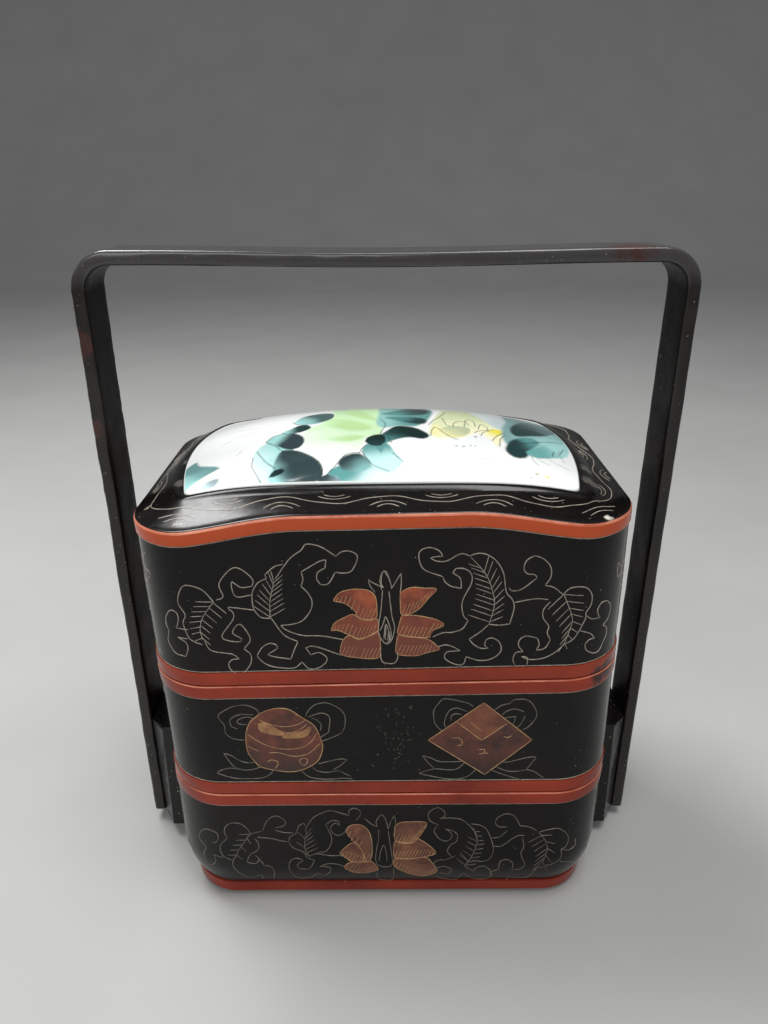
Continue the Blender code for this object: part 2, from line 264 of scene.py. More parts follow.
def colour(red, green, blue):
    """A colour of 0 to 255 with full opacity."""
    return tuple(linear(red, green, blue)) + (1.0,)


def ripple(points, wavelength, seed):
    """Smooth unevenness from -1 to 1, as hand-laid lacquer has."""
    random = np.random.default_rng(seed)
    total = np.zeros(len(points))
    for _ in range(7):
        direction = random.normal(size=3)
        direction /= np.linalg.norm(direction)
        turns = random.uniform(0.6, 1.6) * 2.0 * math.pi / wavelength
        total += np.sin(points @ direction * turns + random.uniform(0.0, 6.3))
    return total / 4.0


def outline(half_width, half_depth, radius):
    """Points round a rectangle with round corners, counter-clockwise from
    the right end of the front."""
    radius = max(radius, 1.0)
    arcs = []
    for quarter, (sign_x, sign_y) in enumerate(QUARTERS):
        angles = np.radians(90.0) * (quarter - 1 + np.arange(CORNER_STEPS + 1) / CORNER_STEPS)
        arc_x = sign_x * (half_width - radius) + radius * np.cos(angles)
        arc_y = sign_y * (half_depth - radius) + radius * np.sin(angles)
        arcs.append(np.column_stack([arc_x, arc_y]))
    points = []
    for quarter, arc in enumerate(arcs):
        points.append(arc)
        steps = LONG_STEPS if quarter % 2 else SHORT_STEPS
        shares = np.arange(1, steps)[:, None] / steps
        points.append(arc[-1] + shares * (arcs[(quarter + 1) % 4][0] - arc[-1]))
    return np.vstack(points)


def box_outline(inset):
    """The box's plan, drawn in from the face of its red bands."""
    return outline(HALF_WIDTH - inset, HALF_DEPTH - inset, RADIUS - inset)


def side_bow(x, y):
    """How far the panel's left or right end bows out."""
    bow = np.where(x < 0.0, PANEL_LEFT_BOW, PANEL_RIGHT_BOW)
    return bow * np.maximum(1.0 - (y / PANEL_HALF_DEPTH) ** 2, 0.0)


def bowed(points, half_width):
    """An outline with the panel's bowed ends."""
    x, y = points[:, 0], points[:, 1]
    share = smooth_step(2.0 * np.abs(x) / half_width - 1.0)
    return np.column_stack([x + np.sign(x) * share * side_bow(x, y), y])


def panel_outline(outset, extra=0.0):
    """The panel's plan set out by a distance, and by more at its ends."""
    half_width = PANEL_HALF_WIDTH + outset + extra
    points = outline(half_width, PANEL_HALF_DEPTH + outset, PANEL_RADIUS + outset)
    return bowed(points, half_width)


def rim_height(x):
    """The height of the lid's wavy upper edge."""
    share = np.abs(x) / HALF_WIDTH
    return LID_RIM - RIM_DROP * smooth_step((share - RIM_DROP_START) / (RIM_DROP_END - RIM_DROP_START))


def panel_height(x, y):
    """The height of the panel's domed top."""
    across = np.abs(x) / (PANEL_HALF_WIDTH + side_bow(x, y))
    along = np.abs(y) / PANEL_HALF_DEPTH
    rise = PANEL_FRONT_ARCH * (1.0 - across**PANEL_FRONT_ARCH_POWER)
    rise = rise + PANEL_SIDE_ARCH * (1.0 - along**2)
    rise = rise + PANEL_CROWN * (1.0 - across**2) * (1.0 - along**2)
    return PANEL_CORNER_HEIGHT + rise - PANEL_TILT * x


def tuck(z):
    """How far the bottom tray draws in towards its foot."""
    share = np.clip((FOOT + BAND + TUCK_HEIGHT - z) / TUCK_HEIGHT, 0.0, 1.0)
    return TUCK * share**TUCK_POWER


def leaned(points):
    """The lean of the stack, which begins above the bottom tray."""
    x, y, z = points[:, 0], points[:, 1], points[:, 2]
    share = np.clip((z - BOTTOM_SEAM) / (MIDDLE_SEAM - BOTTOM_SEAM), 0.0, 1.0)
    angle = -LEAN * share
    up = z - BOTTOM_SEAM
    new_x = x * np.cos(angle) + up * np.sin(angle)
    new_z = BOTTOM_SEAM - x * np.sin(angle) + up * np.cos(angle)
    return np.column_stack([new_x, y, new_z])


def level_ring(inset, height):
    """The box's plan at one height."""
    points = box_outline(inset)
    return np.column_stack([points, np.full(len(points), height)])


def rim_ring(inset, below):
    """The box's plan at a distance below the lid's wavy edge."""
    points = box_outline(inset)
    return np.column_stack([points, rim_height(points[:, 0]) - below])


def panel_ring(outset, below, extra=0.0):
    """The panel's plan at a distance below its top."""
    points = panel_outline(outset, extra)
    return np.column_stack([points, panel_height(points[:, 0], points[:, 1]) - below])


def dome_rings(below):
    """Rings that shrink to the middle of the panel's dome."""
    edge = panel_outline(PANEL_CLEARANCE)
    rings = []
    for step in range(1, DOME_STEPS):
        points = edge * (1.0 - step / DOME_STEPS)
        rings.append(np.column_stack([points, panel_height(points[:, 0], points[:, 1]) - below]))
    middle = np.zeros(1)
    rings.append(np.array([[0.0, 0.0, float(panel_height(middle, middle)[0]) - below]]))
    return rings


def finish_mesh(name, points, faces, finishes, slots, sharp=SHARP_ANGLE):
    """A piece from points in millimetres, faces and a slot for each face."""
    mesh = bpy.data.meshes.new(name)
    mesh.from_pydata((np.asarray(points) * MM).tolist(), [], faces)
    for finish in finishes:
        mesh.materials.append(finish)
    if slots is not None:
        mesh.polygons.foreach_set("material_index", np.asarray(slots, dtype=np.int32))
    shape = bmesh.new()
    shape.from_mesh(mesh)
    bmesh.ops.recalc_face_normals(shape, faces=shape.faces)
    shape.to_mesh(mesh)
    shape.free()
    mesh.shade_smooth()
    mesh.set_sharp_from_angle(angle=math.radians(sharp))
    piece = bpy.data.objects.new(name, mesh)
    bpy.context.scene.collection.objects.link(piece)
    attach(piece, "root")
    return piece


def unit_rows(rows):
    """Each row scaled to a length of 1."""
    return rows / np.maximum(np.linalg.norm(rows, axis=1, keepdims=True), 1e-9)


def ahead_on(ring):
    """The way on at each point of a closed ring."""
    return np.roll(ring, -1, axis=0) - np.roll(ring, 1, axis=0)


def hand_laid(points, seed):
    """The slight waves of a hand-made box, pushed out from its axis."""
    push = UNEVENNESS * ripple(points, UNEVEN_WAVE, seed)
    length = np.maximum(np.linalg.norm(points[:, :2], axis=1), 1.0)
    waved = points.copy()
    waved[:, :2] += (push / length)[:, None] * points[:, :2]
    return waved


def placed(tier, points):
    """Points of a tier with its waves and, above the bottom tray, its lean."""
    waved = hand_laid(points, WAVE_SEEDS[tier])
    return waved if tier == "bottom" else leaned(waved)


def pairs(loop):
    """Each member of a closed loop with the next one."""
    return list(zip(loop, loop[1:] + loop[:1]))


def loft(name, tier, strips, finishes):
    """One closed surface from (ring, slot) strips. A ring of one point closes
    an end, and any other end gets one flat face."""
    rings = [np.asarray(ring) for ring, _ in strips]
    starts = np.cumsum([0] + [len(ring) for ring in rings])
    points = placed(tier, np.vstack(rings))
    faces = []
    slots = []
    for index in range(len(rings) - 1):
        low, high = starts[index], starts[index + 1]
        count = max(len(rings[index]), len(rings[index + 1]))
        for step in range(count):
            after = (step + 1) % count
            if len(rings[index]) == 1:
                faces.append((low, high + after, high + step))
            elif len(rings[index + 1]) == 1:
                faces.append((low + step, low + after, high))
            else:
                faces.append((low + step, low + after, high + after, high + step))
            slots.append(strips[index][1])
    for index, flipped in ((0, True), (len(rings) - 1, False)):
        if len(rings[index]) > 1:
            loop = list(range(starts[index], starts[index + 1]))
            faces.append(tuple(loop[::-1] if flipped else loop))
            slots.append(strips[index if flipped else index - 1][1])
    return finish_mesh(name, points, faces, finishes, slots)


def rounded(start, end, corner, steps=ROUND_STEPS):
    """A quarter round between two profile points, bulging to a corner."""
    points = []
    for step in range(steps + 1):
        share = step / steps
        a = (1.0 - share) ** 2
        b = 2.0 * share * (1.0 - share)
        c = share**2
        points.append(tuple(a * s + b * k + c * e for s, k, e in zip(start, corner, end)))
    return points


# Material slots of the trays and the lid, and the rings of rubbed wear and painted highlight on band edges
BLACK, RED, BORDER, RUBBED_HIGHLIGHT = 0, 1, 2, 3
RUBBED_HIGHLIGHT_RINGS = (4, 5)
SHOULDER_SLOTS = (RED, RUBBED_HIGHLIGHT, RUBBED_HIGHLIGHT) + 4 * (BORDER,)


def seam_band(base, top, open_edge_up):
    """The profile of a red band, rounded at the edge that meets a seam."""
    if open_edge_up:
        square = [(BAND_PROUD, base), (STEP_EDGE, base + STEP_EDGE), (0.0, base + STEP_RUN)]
        return square + rounded((0.0, top - BAND_EDGE), (BAND_EDGE, top), (0.0, top))
    rounding = rounded((BAND_EDGE, base), (0.0, base + BAND_EDGE), (0.0, base))
    return rounding + [(0.0, top - STEP_RUN), (STEP_EDGE, top - STEP_EDGE), (BAND_PROUD, top)]


def profile_strips(profile, slot):
    """Strips of one slot from (inset, height) points."""
    return [(level_ring(inset, height), slot) for inset, height in profile]


def tray_rim(top, floor, draw_in):
    """A tray's upper band, its tongue, and its inside down to the floor."""
    strips = profile_strips(seam_band(top - BAND, top, True), RED)
    # These rings of the band's rounded edge take the paler paint, partly wear and partly a painted highlight
    for index in RUBBED_HIGHLIGHT_RINGS:
        strips[index] = (strips[index][0], RUBBED_HIGHLIGHT)
    tip = top + TONGUE_HEIGHT
    inside = [(TONGUE_INSET, top), (TONGUE_INSET, tip - SMALL_EDGE)]
    inside += [(TONGUE_INSET + SMALL_EDGE, tip), (WALL - SMALL_EDGE, tip), (WALL, tip - SMALL_EDGE)]
    for height in np.linspace(top - INSIDE_DROP, floor + COVE, INSIDE_STEPS + 1):
        inside.append((WALL + float(draw_in(height)), float(height)))
    inside.append((WALL + float(draw_in(floor)) + COVE, floor))
    return strips + profile_strips(inside, BLACK)


def make_bottom(finishes):
    """The bottom tray, from its recessed foot up, over and down inside."""
    strips = profile_strips([(FOOT_INSET, 0.0), (FOOT_INSET, FOOT)], BLACK)
    band = rounded((TUCK + FOOT_EDGE, FOOT), (TUCK, FOOT + FOOT_EDGE), (TUCK, FOOT), FOOT_STEPS)
    band += [(TUCK, FOOT + BAND - SMALL_EDGE)]
    strips += profile_strips(band, RED)
    base = FOOT + BAND
    heights = [base + TUCK_HEIGHT * (step / TUCK_STEPS) for step in range(TUCK_STEPS + 1)]
    heights += list(np.linspace(base + TUCK_HEIGHT, BOTTOM_SEAM - BAND, BOTTOM_STEPS + 1))[1:-1]
    wall = [(float(tuck(height)) + BAND_PROUD, float(height)) for height in heights]
    strips += profile_strips(wall, BLACK)
    strips += tray_rim(BOTTOM_SEAM, FOOT + FLOOR_BOARD, tuck)
    return loft("bottom_tray", "bottom", strips, finishes)


def rebated_skirt(base):
    """The rebate under a tier and the tier's lower band."""
    strips = profile_strips([(REBATE_INSET, base + REBATE_HEIGHT), (REBATE_INSET, base)], BLACK)
    band = seam_band(base, base + BAND, False)
    strips += profile_strips(band[:-1], RED)
    return strips + profile_strips(band[-1:], BLACK)


def make_middle(finishes):
    """The middle tray, from its rebate up, over and down inside."""
    strips = rebated_skirt(MIDDLE_BASE)
    heights = np.linspace(MIDDLE_BASE + BAND, MIDDLE_SEAM - BAND, MIDDLE_STEPS + 1)[1:-1]
    strips += profile_strips([(BAND_PROUD, float(height)) for height in heights], BLACK)
    floor = MIDDLE_BASE + REBATE_HEIGHT + FLOOR_BOARD
    strips += tray_rim(MIDDLE_SEAM, floor, lambda height: 0.0)
    return loft("middle_tray", "middle", strips, finishes)


def border_rings():
    """Rings from the lid's shoulder up to the foot of the panel's lip."""
    edge = rim_ring(SHOULDER, 0.0)
    foot = panel_ring(PANEL_CLEARANCE + LIP_WIDTH, LIP_RISE, LIP_EXTRA)
    return [edge + (foot - edge) * step / BORDER_STEPS for step in range(1, BORDER_STEPS + 1)]


def lip_rings():
    """The smooth rounded lip that frames the panel."""
    rings = []
    outer = PANEL_CLEARANCE + LIP_WIDTH
    for step in range(1, LIP_STEPS):
        share = step / LIP_STEPS
        outset = outer + (PANEL_CLEARANCE - outer) * share
        lift = LIP_RISE * (4.0 * share * (1.0 - share)) + LIP_RISE * (share - 1.0)
        rings.append(panel_ring(outset, -lift, LIP_EXTRA * (1.0 - share)))
    rings.append(panel_ring(PANEL_CLEARANCE, SMALL_EDGE))
    return rings


def make_lid(finishes):
    """The lid, from its ceiling down inside, out and up to the panel's seat."""
    seat = PANEL_THICKNESS + PANEL_BED
    ceiling = seat + LID_BOARD
    under = BAND + LID_BOARD
    inside = dome_rings(ceiling)[::-1] + [panel_ring(PANEL_CLEARANCE, ceiling)]
    inside += [rim_ring(WALL + COVE, under), rim_ring(WALL, under + COVE)]
    inside.append(level_ring(WALL, LID_BASE + REBATE_HEIGHT))
    strips = [(ring, BLACK) for ring in inside] + rebated_skirt(LID_BASE)
    low = level_ring(BAND_PROUD, LID_BASE + BAND)
    high = rim_ring(BAND_PROUD, BAND)
    strips += [(low + (high - low) * step / LID_STEPS, BLACK) for step in range(1, LID_STEPS)]
    band = [high, rim_ring(STEP_EDGE, BAND - STEP_EDGE), rim_ring(0.0, BAND - STEP_RUN)]
    strips += [(ring, RED) for ring in band]
    shoulder = rounded((0.0, SHOULDER), (SHOULDER, 0.0), (0.0, 0.0), SHOULDER_STEPS)
    for (inset, below), slot in zip(shoulder, SHOULDER_SLOTS):
        strips.append((rim_ring(inset, below), slot))
    strips += [(ring, BORDER) for ring in border_rings() + lip_rings()]
    strips += [(ring, BLACK) for ring in [panel_ring(PANEL_CLEARANCE, seat)] + dome_rings(seat)]
    return loft("lid_shell", "lid", strips, finishes)


def plan(s, inset):
    """A point of the box's plan by its distance round it from the middle of
    the front, counter-clockwise seen from above."""
    run_a, run_b = HALF_WIDTH - RADIUS, HALF_DEPTH - RADIUS
    nominal = RADIUS - BAND_PROUD
    arc = math.pi / 2 * nominal
    reach = RADIUS - inset
    s = (s + run_a) % (4 * (run_a + run_b + arc))
    turn = 0
    along, across = run_a, run_b
    while s > 2 * along + arc:
        s -= 2 * along + arc
        turn += 1
        along, across = across, along
    if s <= 2 * along:
        x, y = s - along, -across - reach
    else:
        angle = (s - 2 * along) / nominal
        x, y = along + reach * math.sin(angle), -across - reach * math.cos(angle)
    for _ in range(turn):
        x, y = -y, x
    return x, y


TIER_BASES = {"bottom": 0.0, "middle": MIDDLE_BASE, "lid": LID_BASE}


def on_wall(tier, line, lift=0.0):
    """Points on a tier's wall from (distance round it, height) points."""
    points = []
    for s, height in line:
        z = TIER_BASES[tier] + height
        draw_in = float(tuck(z)) if tier == "bottom" else 0.0
        x, y = plan(s, BAND_PROUD + draw_in - lift)
        points.append((x, y, z))
    return placed(tier, np.array(points))


def wall_normals(tier, line):
    """The way out of the wall at each point of a line."""
    return on_wall(tier, line, 1.0) - on_wall(tier, line, 0.0)


def curve_through(points, step=LINE_STEP, closed=False):
    """A smooth line through points, sampled evenly."""
    points = [np.array(point, dtype=float) for point in points]
    if len(points) == 2:
        count = max(int(np.linalg.norm(points[1] - points[0]) / (2.0 * step)), 1)
        return [points[0] + (points[1] - points[0]) * k / count for k in range(count + 1)]
    if closed:
        chain = [points[-1]] + points + points[:2]
    else:
        chain = [2 * points[0] - points[1]] + points + [2 * points[-1] - points[-2]]
    line = []
    for a, b, c, d in zip(chain, chain[1:], chain[2:], chain[3:]):
        count = max(int(np.linalg.norm(c - b) / step), 1)
        for k in range(count):
            t = k / count
            bend = 2 * b + (c - a) * t + (2 * a - 5 * b + 4 * c - d) * t**2
            line.append(0.5 * (bend + (3 * b - a - 3 * c + d) * t**3))
    if not closed:
        line.append(points[-1])
    return line


class Lines:
    """Incised lines, gathered into one mesh of thin closed strips."""

    def __init__(self):
        self.points = []
        self.faces = []

    def add(self, points, normals, width, closed=False):
        """One line through points, with its sides along the wall."""
        count = len(points)
        normals = unit_rows(normals)
        tangents = ahead_on(points) if closed else np.gradient(points, axis=0)
        sides = unit_rows(np.cross(normals, tangents))
        widths = np.full(count, width)
        if not closed and count > 3:
            widths[0] = widths[-1] = LINE_TAPER * width
        first = sum(len(block) for block in self.points)
        half = widths[:, None] / 2
        section = [
            points - sides * half - normals * LINE_HEIGHT,
            points - sides * half * LINE_TOP + normals * LINE_HEIGHT,
            points + sides * half * LINE_TOP + normals * LINE_HEIGHT,
            points + sides * half - normals * LINE_HEIGHT,
        ]
        self.points.append(np.stack(section, axis=1).reshape(-1, 3))
        for index in range(count if closed else count - 1):
            a = first + 4 * index
            b = first + 4 * ((index + 1) % count)
            for k in range(4):
                n = (k + 1) % 4
                self.faces.append((a + k, a + n, b + n, b + k))
        if not closed:
            last = first + 4 * (count - 1)
            self.faces.append((first, first + 1, first + 2, first + 3))
            self.faces.append((last + 3, last + 2, last + 1, last))

    def draw(self, tier, strokes, width):
        """Smooth lines on a tier's wall."""
        for stroke in strokes:
            line = curve_through(stroke)
            self.add(on_wall(tier, line), wall_normals(tier, line), width)

    def make(self, name, finish):
        """The piece that holds all the lines added."""
        return finish_mesh(name, np.vstack(self.points), self.faces, [finish], None)


def fill(name, tier, shapes, finish, lift=INLAY_LIFT, smooth=True):
    """Thin inlays on a wall, cut so that they follow its curve."""
    shape = bmesh.new()
    for points in shapes:
        line = np.array(curve_through(points, INLAY_STEP, closed=True) if smooth else points)
        ahead = np.roll(line, -1, axis=0)
        if np.sum(line[:, 0] * ahead[:, 1] - ahead[:, 0] * line[:, 1]) < 0.0:
            line = line[::-1]
        shape.faces.new([shape.verts.new((s, height, 0.0)) for s, height in line])
    bmesh.ops.triangulate(shape, faces=shape.faces[:])
    cuts = []
    for index, axis in enumerate(((1, 0, 0), (0, 1, 0))):
        reach = [vert.co[index] for vert in shape.verts]
        for place in np.arange(min(reach) + INLAY_GRID / 2, max(reach), INLAY_GRID):
            cuts.append(([place * part for part in axis], axis))
    for place, axis in cuts:
        parts = shape.verts[:] + shape.edges[:] + shape.faces[:]
        bmesh.ops.bisect_plane(shape, geom=parts, plane_co=place, plane_no=axis, dist=1e-5)
    flat = [(vert.co.x, vert.co.y) for vert in shape.verts]
    for vert, point in zip(shape.verts, on_wall(tier, flat, lift)):
        vert.co = point
    mesh = bpy.data.meshes.new(name)
    shape.normal_update()
    shape.to_mesh(mesh)
    shape.free()
    mesh.transform(Matrix.Scale(MM, 4))
    mesh.materials.append(finish)
    piece = bpy.data.objects.new(name, mesh)
    bpy.context.scene.collection.objects.link(piece)
    solid = piece.modifiers.new("thickness", "SOLIDIFY")
    solid.thickness = INLAY_THICKNESS * MM
    solid.offset = -1.0
    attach(piece, "root")
    return piece


def new_material(name):
    """A new material with its node tree and its shader."""
    material = bpy.data.materials.new(name)
    material.use_nodes = True
    tree = material.node_tree
    return material, tree, tree.nodes["Principled BSDF"]


def add_node(tree, kind, **values):
    """A node with values for its sockets and its settings."""
    node = tree.nodes.new(kind)
    for key, value in values.items():
        if key in node.inputs:
            node.inputs[key].default_value = value
        else:
            setattr(node, key, value)
    return node


def noise(tree, scale, detail=4.0, roughness=0.55):
    """Cloudy noise in the object's own space."""
    source = add_node(tree, "ShaderNodeTexCoord").outputs["Object"]
    node = add_node(tree, "ShaderNodeTexNoise", Scale=scale, Detail=detail, Roughness=roughness)
    tree.links.new(source, node.inputs["Vector"])
    return node.outputs["Fac"]


def ramp(tree, source, stops):
    """Stops of (place, value or colour) over a source."""
    node = add_node(tree, "ShaderNodeValToRGB")
    while len(node.color_ramp.elements) < len(stops):
        node.color_ramp.elements.new(0.5)
    for element, (place, value) in zip(node.color_ramp.elements, stops):
        element.position = place
        element.color = value if isinstance(value, tuple) else (value, value, value, 1.0)
    tree.links.new(source, node.inputs["Fac"])
    return node.outputs["Color"]


def mix(tree, share, first, second):
    """Two colours, each a value or a socket, mixed by a share."""
    node = add_node(tree, "ShaderNodeMix", data_type="RGBA")
    for socket, value in ((node.inputs[6], first), (node.inputs[7], second)):
        if isinstance(value, tuple):
            socket.default_value = value
        else:
            tree.links.new(value, socket)
    tree.links.new(share, node.inputs[0])
    return node.outputs[2]


def bump(tree, shader, layers):
    """Bumps of (source, height in millimetres), one over the other."""
    before = None
    for source, distance in layers:
        node = add_node(tree, "ShaderNodeBump", Strength=1.0, Distance=distance * MM)
        tree.links.new(source, node.inputs["Height"])
        if before:
            tree.links.new(before, node.inputs["Normal"])
        before = node.outputs["Normal"]
    tree.links.new(before, shader.inputs["Normal"])


def patch(tree, base, place, radius, tint):
    """A ragged patch round a place, in millimetres, for wear and dust and for painted highlights, sheen and
    reflections.
    """
    source = add_node(tree, "ShaderNodeTexCoord").outputs["Object"]
    away = add_node(tree, "ShaderNodeVectorMath", operation="DISTANCE")
    tree.links.new(source, away.inputs[0])
    away.inputs[1].default_value = [value * MM for value in place]
    ragged = add_node(tree, "ShaderNodeMath", operation="MULTIPLY_ADD")
    tree.links.new(noise(tree, 240.0, 5.0, 0.7), ragged.inputs[0])
    ragged.inputs[1].default_value = 2.0 * radius * MM
    tree.links.new(away.outputs["Value"], ragged.inputs[2])
    near = add_node(tree, "ShaderNodeMapRange", interpolation_type="SMOOTHSTEP")
    tree.links.new(ragged.outputs["Value"], near.inputs["Value"])
    near.inputs["From Min"].default_value = 2.0 * radius * MM
    near.inputs["From Max"].default_value = 1.5 * radius * MM
    near.inputs["To Max"].default_value = 0.85
    return mix(tree, near.outputs["Result"], base, tint)


def by_height(tree, low, high):
    """0 below one height and 1 above another, in millimetres."""
    source = add_node(tree, "ShaderNodeTexCoord").outputs["Object"]
    split = add_node(tree, "ShaderNodeSeparateXYZ")
    tree.links.new(source, split.inputs["Vector"])
    share = add_node(tree, "ShaderNodeMapRange")
    tree.links.new(split.outputs["Z"], share.inputs["Value"])
    share.inputs["From Min"].default_value = low * MM
    share.inputs["From Max"].default_value = high * MM
    return share.outputs["Result"]


def lacquer(name, tones, gloss, specular, dust=0.72, patches=(), upper=None):
    """Hand-laid lacquer: cloudy colour, uneven gloss, soft waves and dust."""
    dark, light, worn = tones
    material, tree, shader = new_material(name)
    base = ramp(tree, noise(tree, 26.0, 5.0), [(0.32, dark), (0.68, light)])
    if upper:
        low, high, tint = upper
        base = mix(tree, by_height(tree, low, high), base, tint)
    rubbed = ramp(tree, noise(tree, 60.0, 6.0, 0.7), [(0.62, 0.0), (0.80, 1.0)])
    base = mix(tree, rubbed, base, worn)
    for place, radius, tint in patches:
        base = patch(tree, base, place, radius, tint)
    specks = ramp(tree, noise(tree, 900.0, 2.0, 0.5), [(dust, 0.0), (dust + 0.03, 1.0)])
    base = mix(tree, specks, base, colour(150, 142, 130))
    tree.links.new(base, shader.inputs["Base Color"])
    low, high = gloss
    rough = ramp(tree, noise(tree, 45.0, 5.0, 0.65), [(0.3, low), (0.75, high)])
    tree.links.new(rough, shader.inputs["Roughness"])
    shader.inputs["Specular IOR Level"].default_value = specular
    bump(tree, shader, [(noise(tree, 70.0, 3.0), 0.10), (noise(tree, 700.0, 3.0), 0.012)])
    return material


def paint_laid(name, fineness, dark, light, fade=None):
    """Cloudy paint in a line or an inlay, darker below where it fades."""
    material, tree, shader = new_material(name)
    tint = ramp(tree, noise(tree, fineness, 6.0, 0.7), [(0.35, dark), (0.65, light)])
    if fade:
        low, high, shade = fade
        tint = mix(tree, by_height(tree, low, high), shade, tint)
    tree.links.new(tint, shader.inputs["Base Color"])
    rough = ramp(tree, noise(tree, 90.0), [(0.3, 0.28), (0.7, 0.5)])
    tree.links.new(rough, shader.inputs["Roughness"])
    bump(tree, shader, [(noise(tree, 400.0, 4.0), 0.02)])
    return material


def make_glaze():
    """The glaze over the painted colours, with fine flecks."""
    material, tree, shader = new_material("painted_glaze")
    paint = add_node(tree, "ShaderNodeAttribute", attribute_name="paint")
    fleck = ramp(tree, noise(tree, 1100.0, 2.0), [(0.735, 0.0), (0.76, 1.0)])
    base = mix(tree, fleck, paint.outputs["Color"], colour(120, 112, 100))
    tree.links.new(base, shader.inputs["Base Color"])
    rough = ramp(tree, noise(tree, 30.0), [(0.3, 0.05), (0.7, 0.12)])
    tree.links.new(rough, shader.inputs["Roughness"])
    shader.inputs["Specular IOR Level"].default_value = 0.3
    bump(tree, shader, [(noise(tree, 40.0, 2.0), 0.12), (noise(tree, 500.0, 2.0), 0.006)])
    return material


def make_materials():
    """All the materials of the dressed part by name."""
    made = {}
    black = (colour(9, 8, 8), colour(19, 15, 14), colour(27, 21, 19))
    pale, bare_and_highlight = colour(214, 208, 196), colour(150, 138, 124)
    scorched, rust_and_red_reflection, dust_and_sheen = colour(10, 7, 6), colour(66, 36, 30), colour(92, 88, 83)
    made["black"] = lacquer(
        "black_lacquer_wall", black, (0.10, 0.26), 0.2, 0.74,
        [((84.0, -62.0, 136.0), 4.0, bare_and_highlight)],
    )
    made["border"] = lacquer(
        "black_lacquer_border", black, (0.12, 0.32), 0.32, 0.73,
        [
            # First a flake of lost lacquer; then, at the rim's left front corner, wear and a painted
            # highlight
            ((-83.0, -63.5, 203.8), 2.8, bare_and_highlight), ((-99.0, -46.0, 203.2), 2.2, bare_and_highlight),
            # Beside the panel's ends the grey patches are partly dust, partly a painted sheen
            ((-88.0, -12.0, 211.0), 4.0, dust_and_sheen), ((88.0, -22.0, 210.0), 5.0, dust_and_sheen),
            ((-87.0, -36.0, 208.5), 4.0, dust_and_sheen), ((86.0, -36.0, 208.0), 5.0, dust_and_sheen),
            ((86.5, -62.5, 202.8), 2.2, pale),
        ],
    )
    red = (colour(112, 35, 20), colour(146, 49, 27), colour(84, 28, 20))
    made["red"] = lacquer(
        "red_lacquer_band", red, (0.14, 0.32), 0.3, 0.77,
        [
            # The pale patch on the band's top edge at the left front corner is partly wear, partly a painted
            # highlight
            ((-96.0, -60.0, 203.2), 3.5, bare_and_highlight),
            ((90.0, -64.0, 130.5), 5.5, scorched), ((95.5, -59.5, 131.5), 6.5, scorched),
        ],
        upper=(128.0, 190.0, colour(180, 74, 36)),
    )
    # The handle's outer tones are lighter than the walls' black, a painted sheen on its lit faces
    strip = (colour(18, 15, 14), colour(34, 29, 27), colour(62, 44, 38))
    made["handle"] = lacquer(
        "handle_lacquer", strip, (0.10, 0.30), 0.5, 0.72,
        [
            ((100.0, -6.0, 299.0), 12.0, rust_and_red_reflection), ((-129.3, -10.0, 262.0), 8.0, rust_and_red_reflection),
            ((-129.3, -10.0, 226.0), 6.0, rust_and_red_reflection), ((-129.0, 9.0, 180.0), 5.0, strip[2]),
        ],
        # The tint along the bar's top is a painted sheen, the light that the top catches
        upper=(284.0, 292.0, colour(60, 57, 58)),
    )
    made["handle_inside"] = lacquer(
        "handle_lacquer_inside", black, (0.42, 0.6), 0.1, 0.72,
        # On the left leg's inner face the red patch is a painted reflection of the box's red band
        [((-123.3, -4.0, 120.0), 7.0, rust_and_red_reflection)],
    )
    block = (colour(10, 8, 8), colour(20, 17, 16), colour(48, 33, 29))
    made["block"] = lacquer(
        "block_lacquer", block, (0.2, 0.4), 0.35, 0.70,
        # The pale spots on the blocks' top edges are partly chips, partly painted highlights
        [((-112.0, -10.0, 67.5), 2.4, pale), ((112.0, -10.0, 67.5), 2.0, pale)],
    )
    paints = {
        "line": (220.0, colour(106, 99, 90), colour(166, 156, 142)),
        # The paler paint on the bands' rounded edges is partly rubbed wear, partly a painted highlight
        "rubbed": (50.0, colour(168, 72, 48), colour(216, 138, 108)),
        "petal_line": (200.0, colour(140, 98, 64), colour(196, 160, 112)),
        "dim_line": (160.0, colour(60, 57, 50), colour(124, 117, 103)),
        "petal": (110.0, colour(92, 32, 20), colour(170, 82, 46), (150.0, 176.0, colour(108, 52, 36))),
        "worn_petal": (110.0, colour(70, 32, 24), colour(124, 78, 50)),
        "jar": (110.0, colour(50, 22, 16), colour(108, 52, 34), (78.0, 100.0, colour(34, 20, 15))),
        "lozenge_top": (90.0, colour(80, 38, 26), colour(130, 74, 48)),
        "gold": (110.0, colour(104, 60, 38), colour(176, 132, 84)),
    }
    for name, values in paints.items():
        made[name] = paint_laid(name + "_paint", *values)
    made["glaze"] = make_glaze()
    return made


def handle_stations():
    """(x, z, outward x, outward z) along the middle of the strip."""
    half_span = (HANDLE_WIDTH - HANDLE_THICKNESS) / 2
    middle = HANDLE_HEIGHT - HANDLE_THICKNESS / 2
    bend = HANDLE_BEND - HANDLE_THICKNESS / 2
    stations = []
    for height in np.linspace(FRAME_CLEARANCE, middle - bend, LEG_STEPS + 1)[:-1]:
        stations.append((-half_span, height, -1.0, 0.0))
    for step in range(BEND_STEPS + 1):
        angle = math.radians(180.0 - 90.0 * step / BEND_STEPS)
        out_x, out_z = math.cos(angle), math.sin(angle)
        stations.append((-half_span + bend + bend * out_x, middle - bend + bend * out_z, out_x, out_z))
    turned = [(-x, z, -out_x, out_z) for x, z, out_x, out_z in stations[::-1]]
    bar = 2 * (half_span - bend)
    for step in range(1, BAR_STEPS):
        share = step / BAR_STEPS
        sag = HANDLE_SAG * math.sin(math.pi * share) ** 2
        stations.append((-half_span + bend + bar * share, middle - sag, 0.0, 1.0))
    return stations + turned


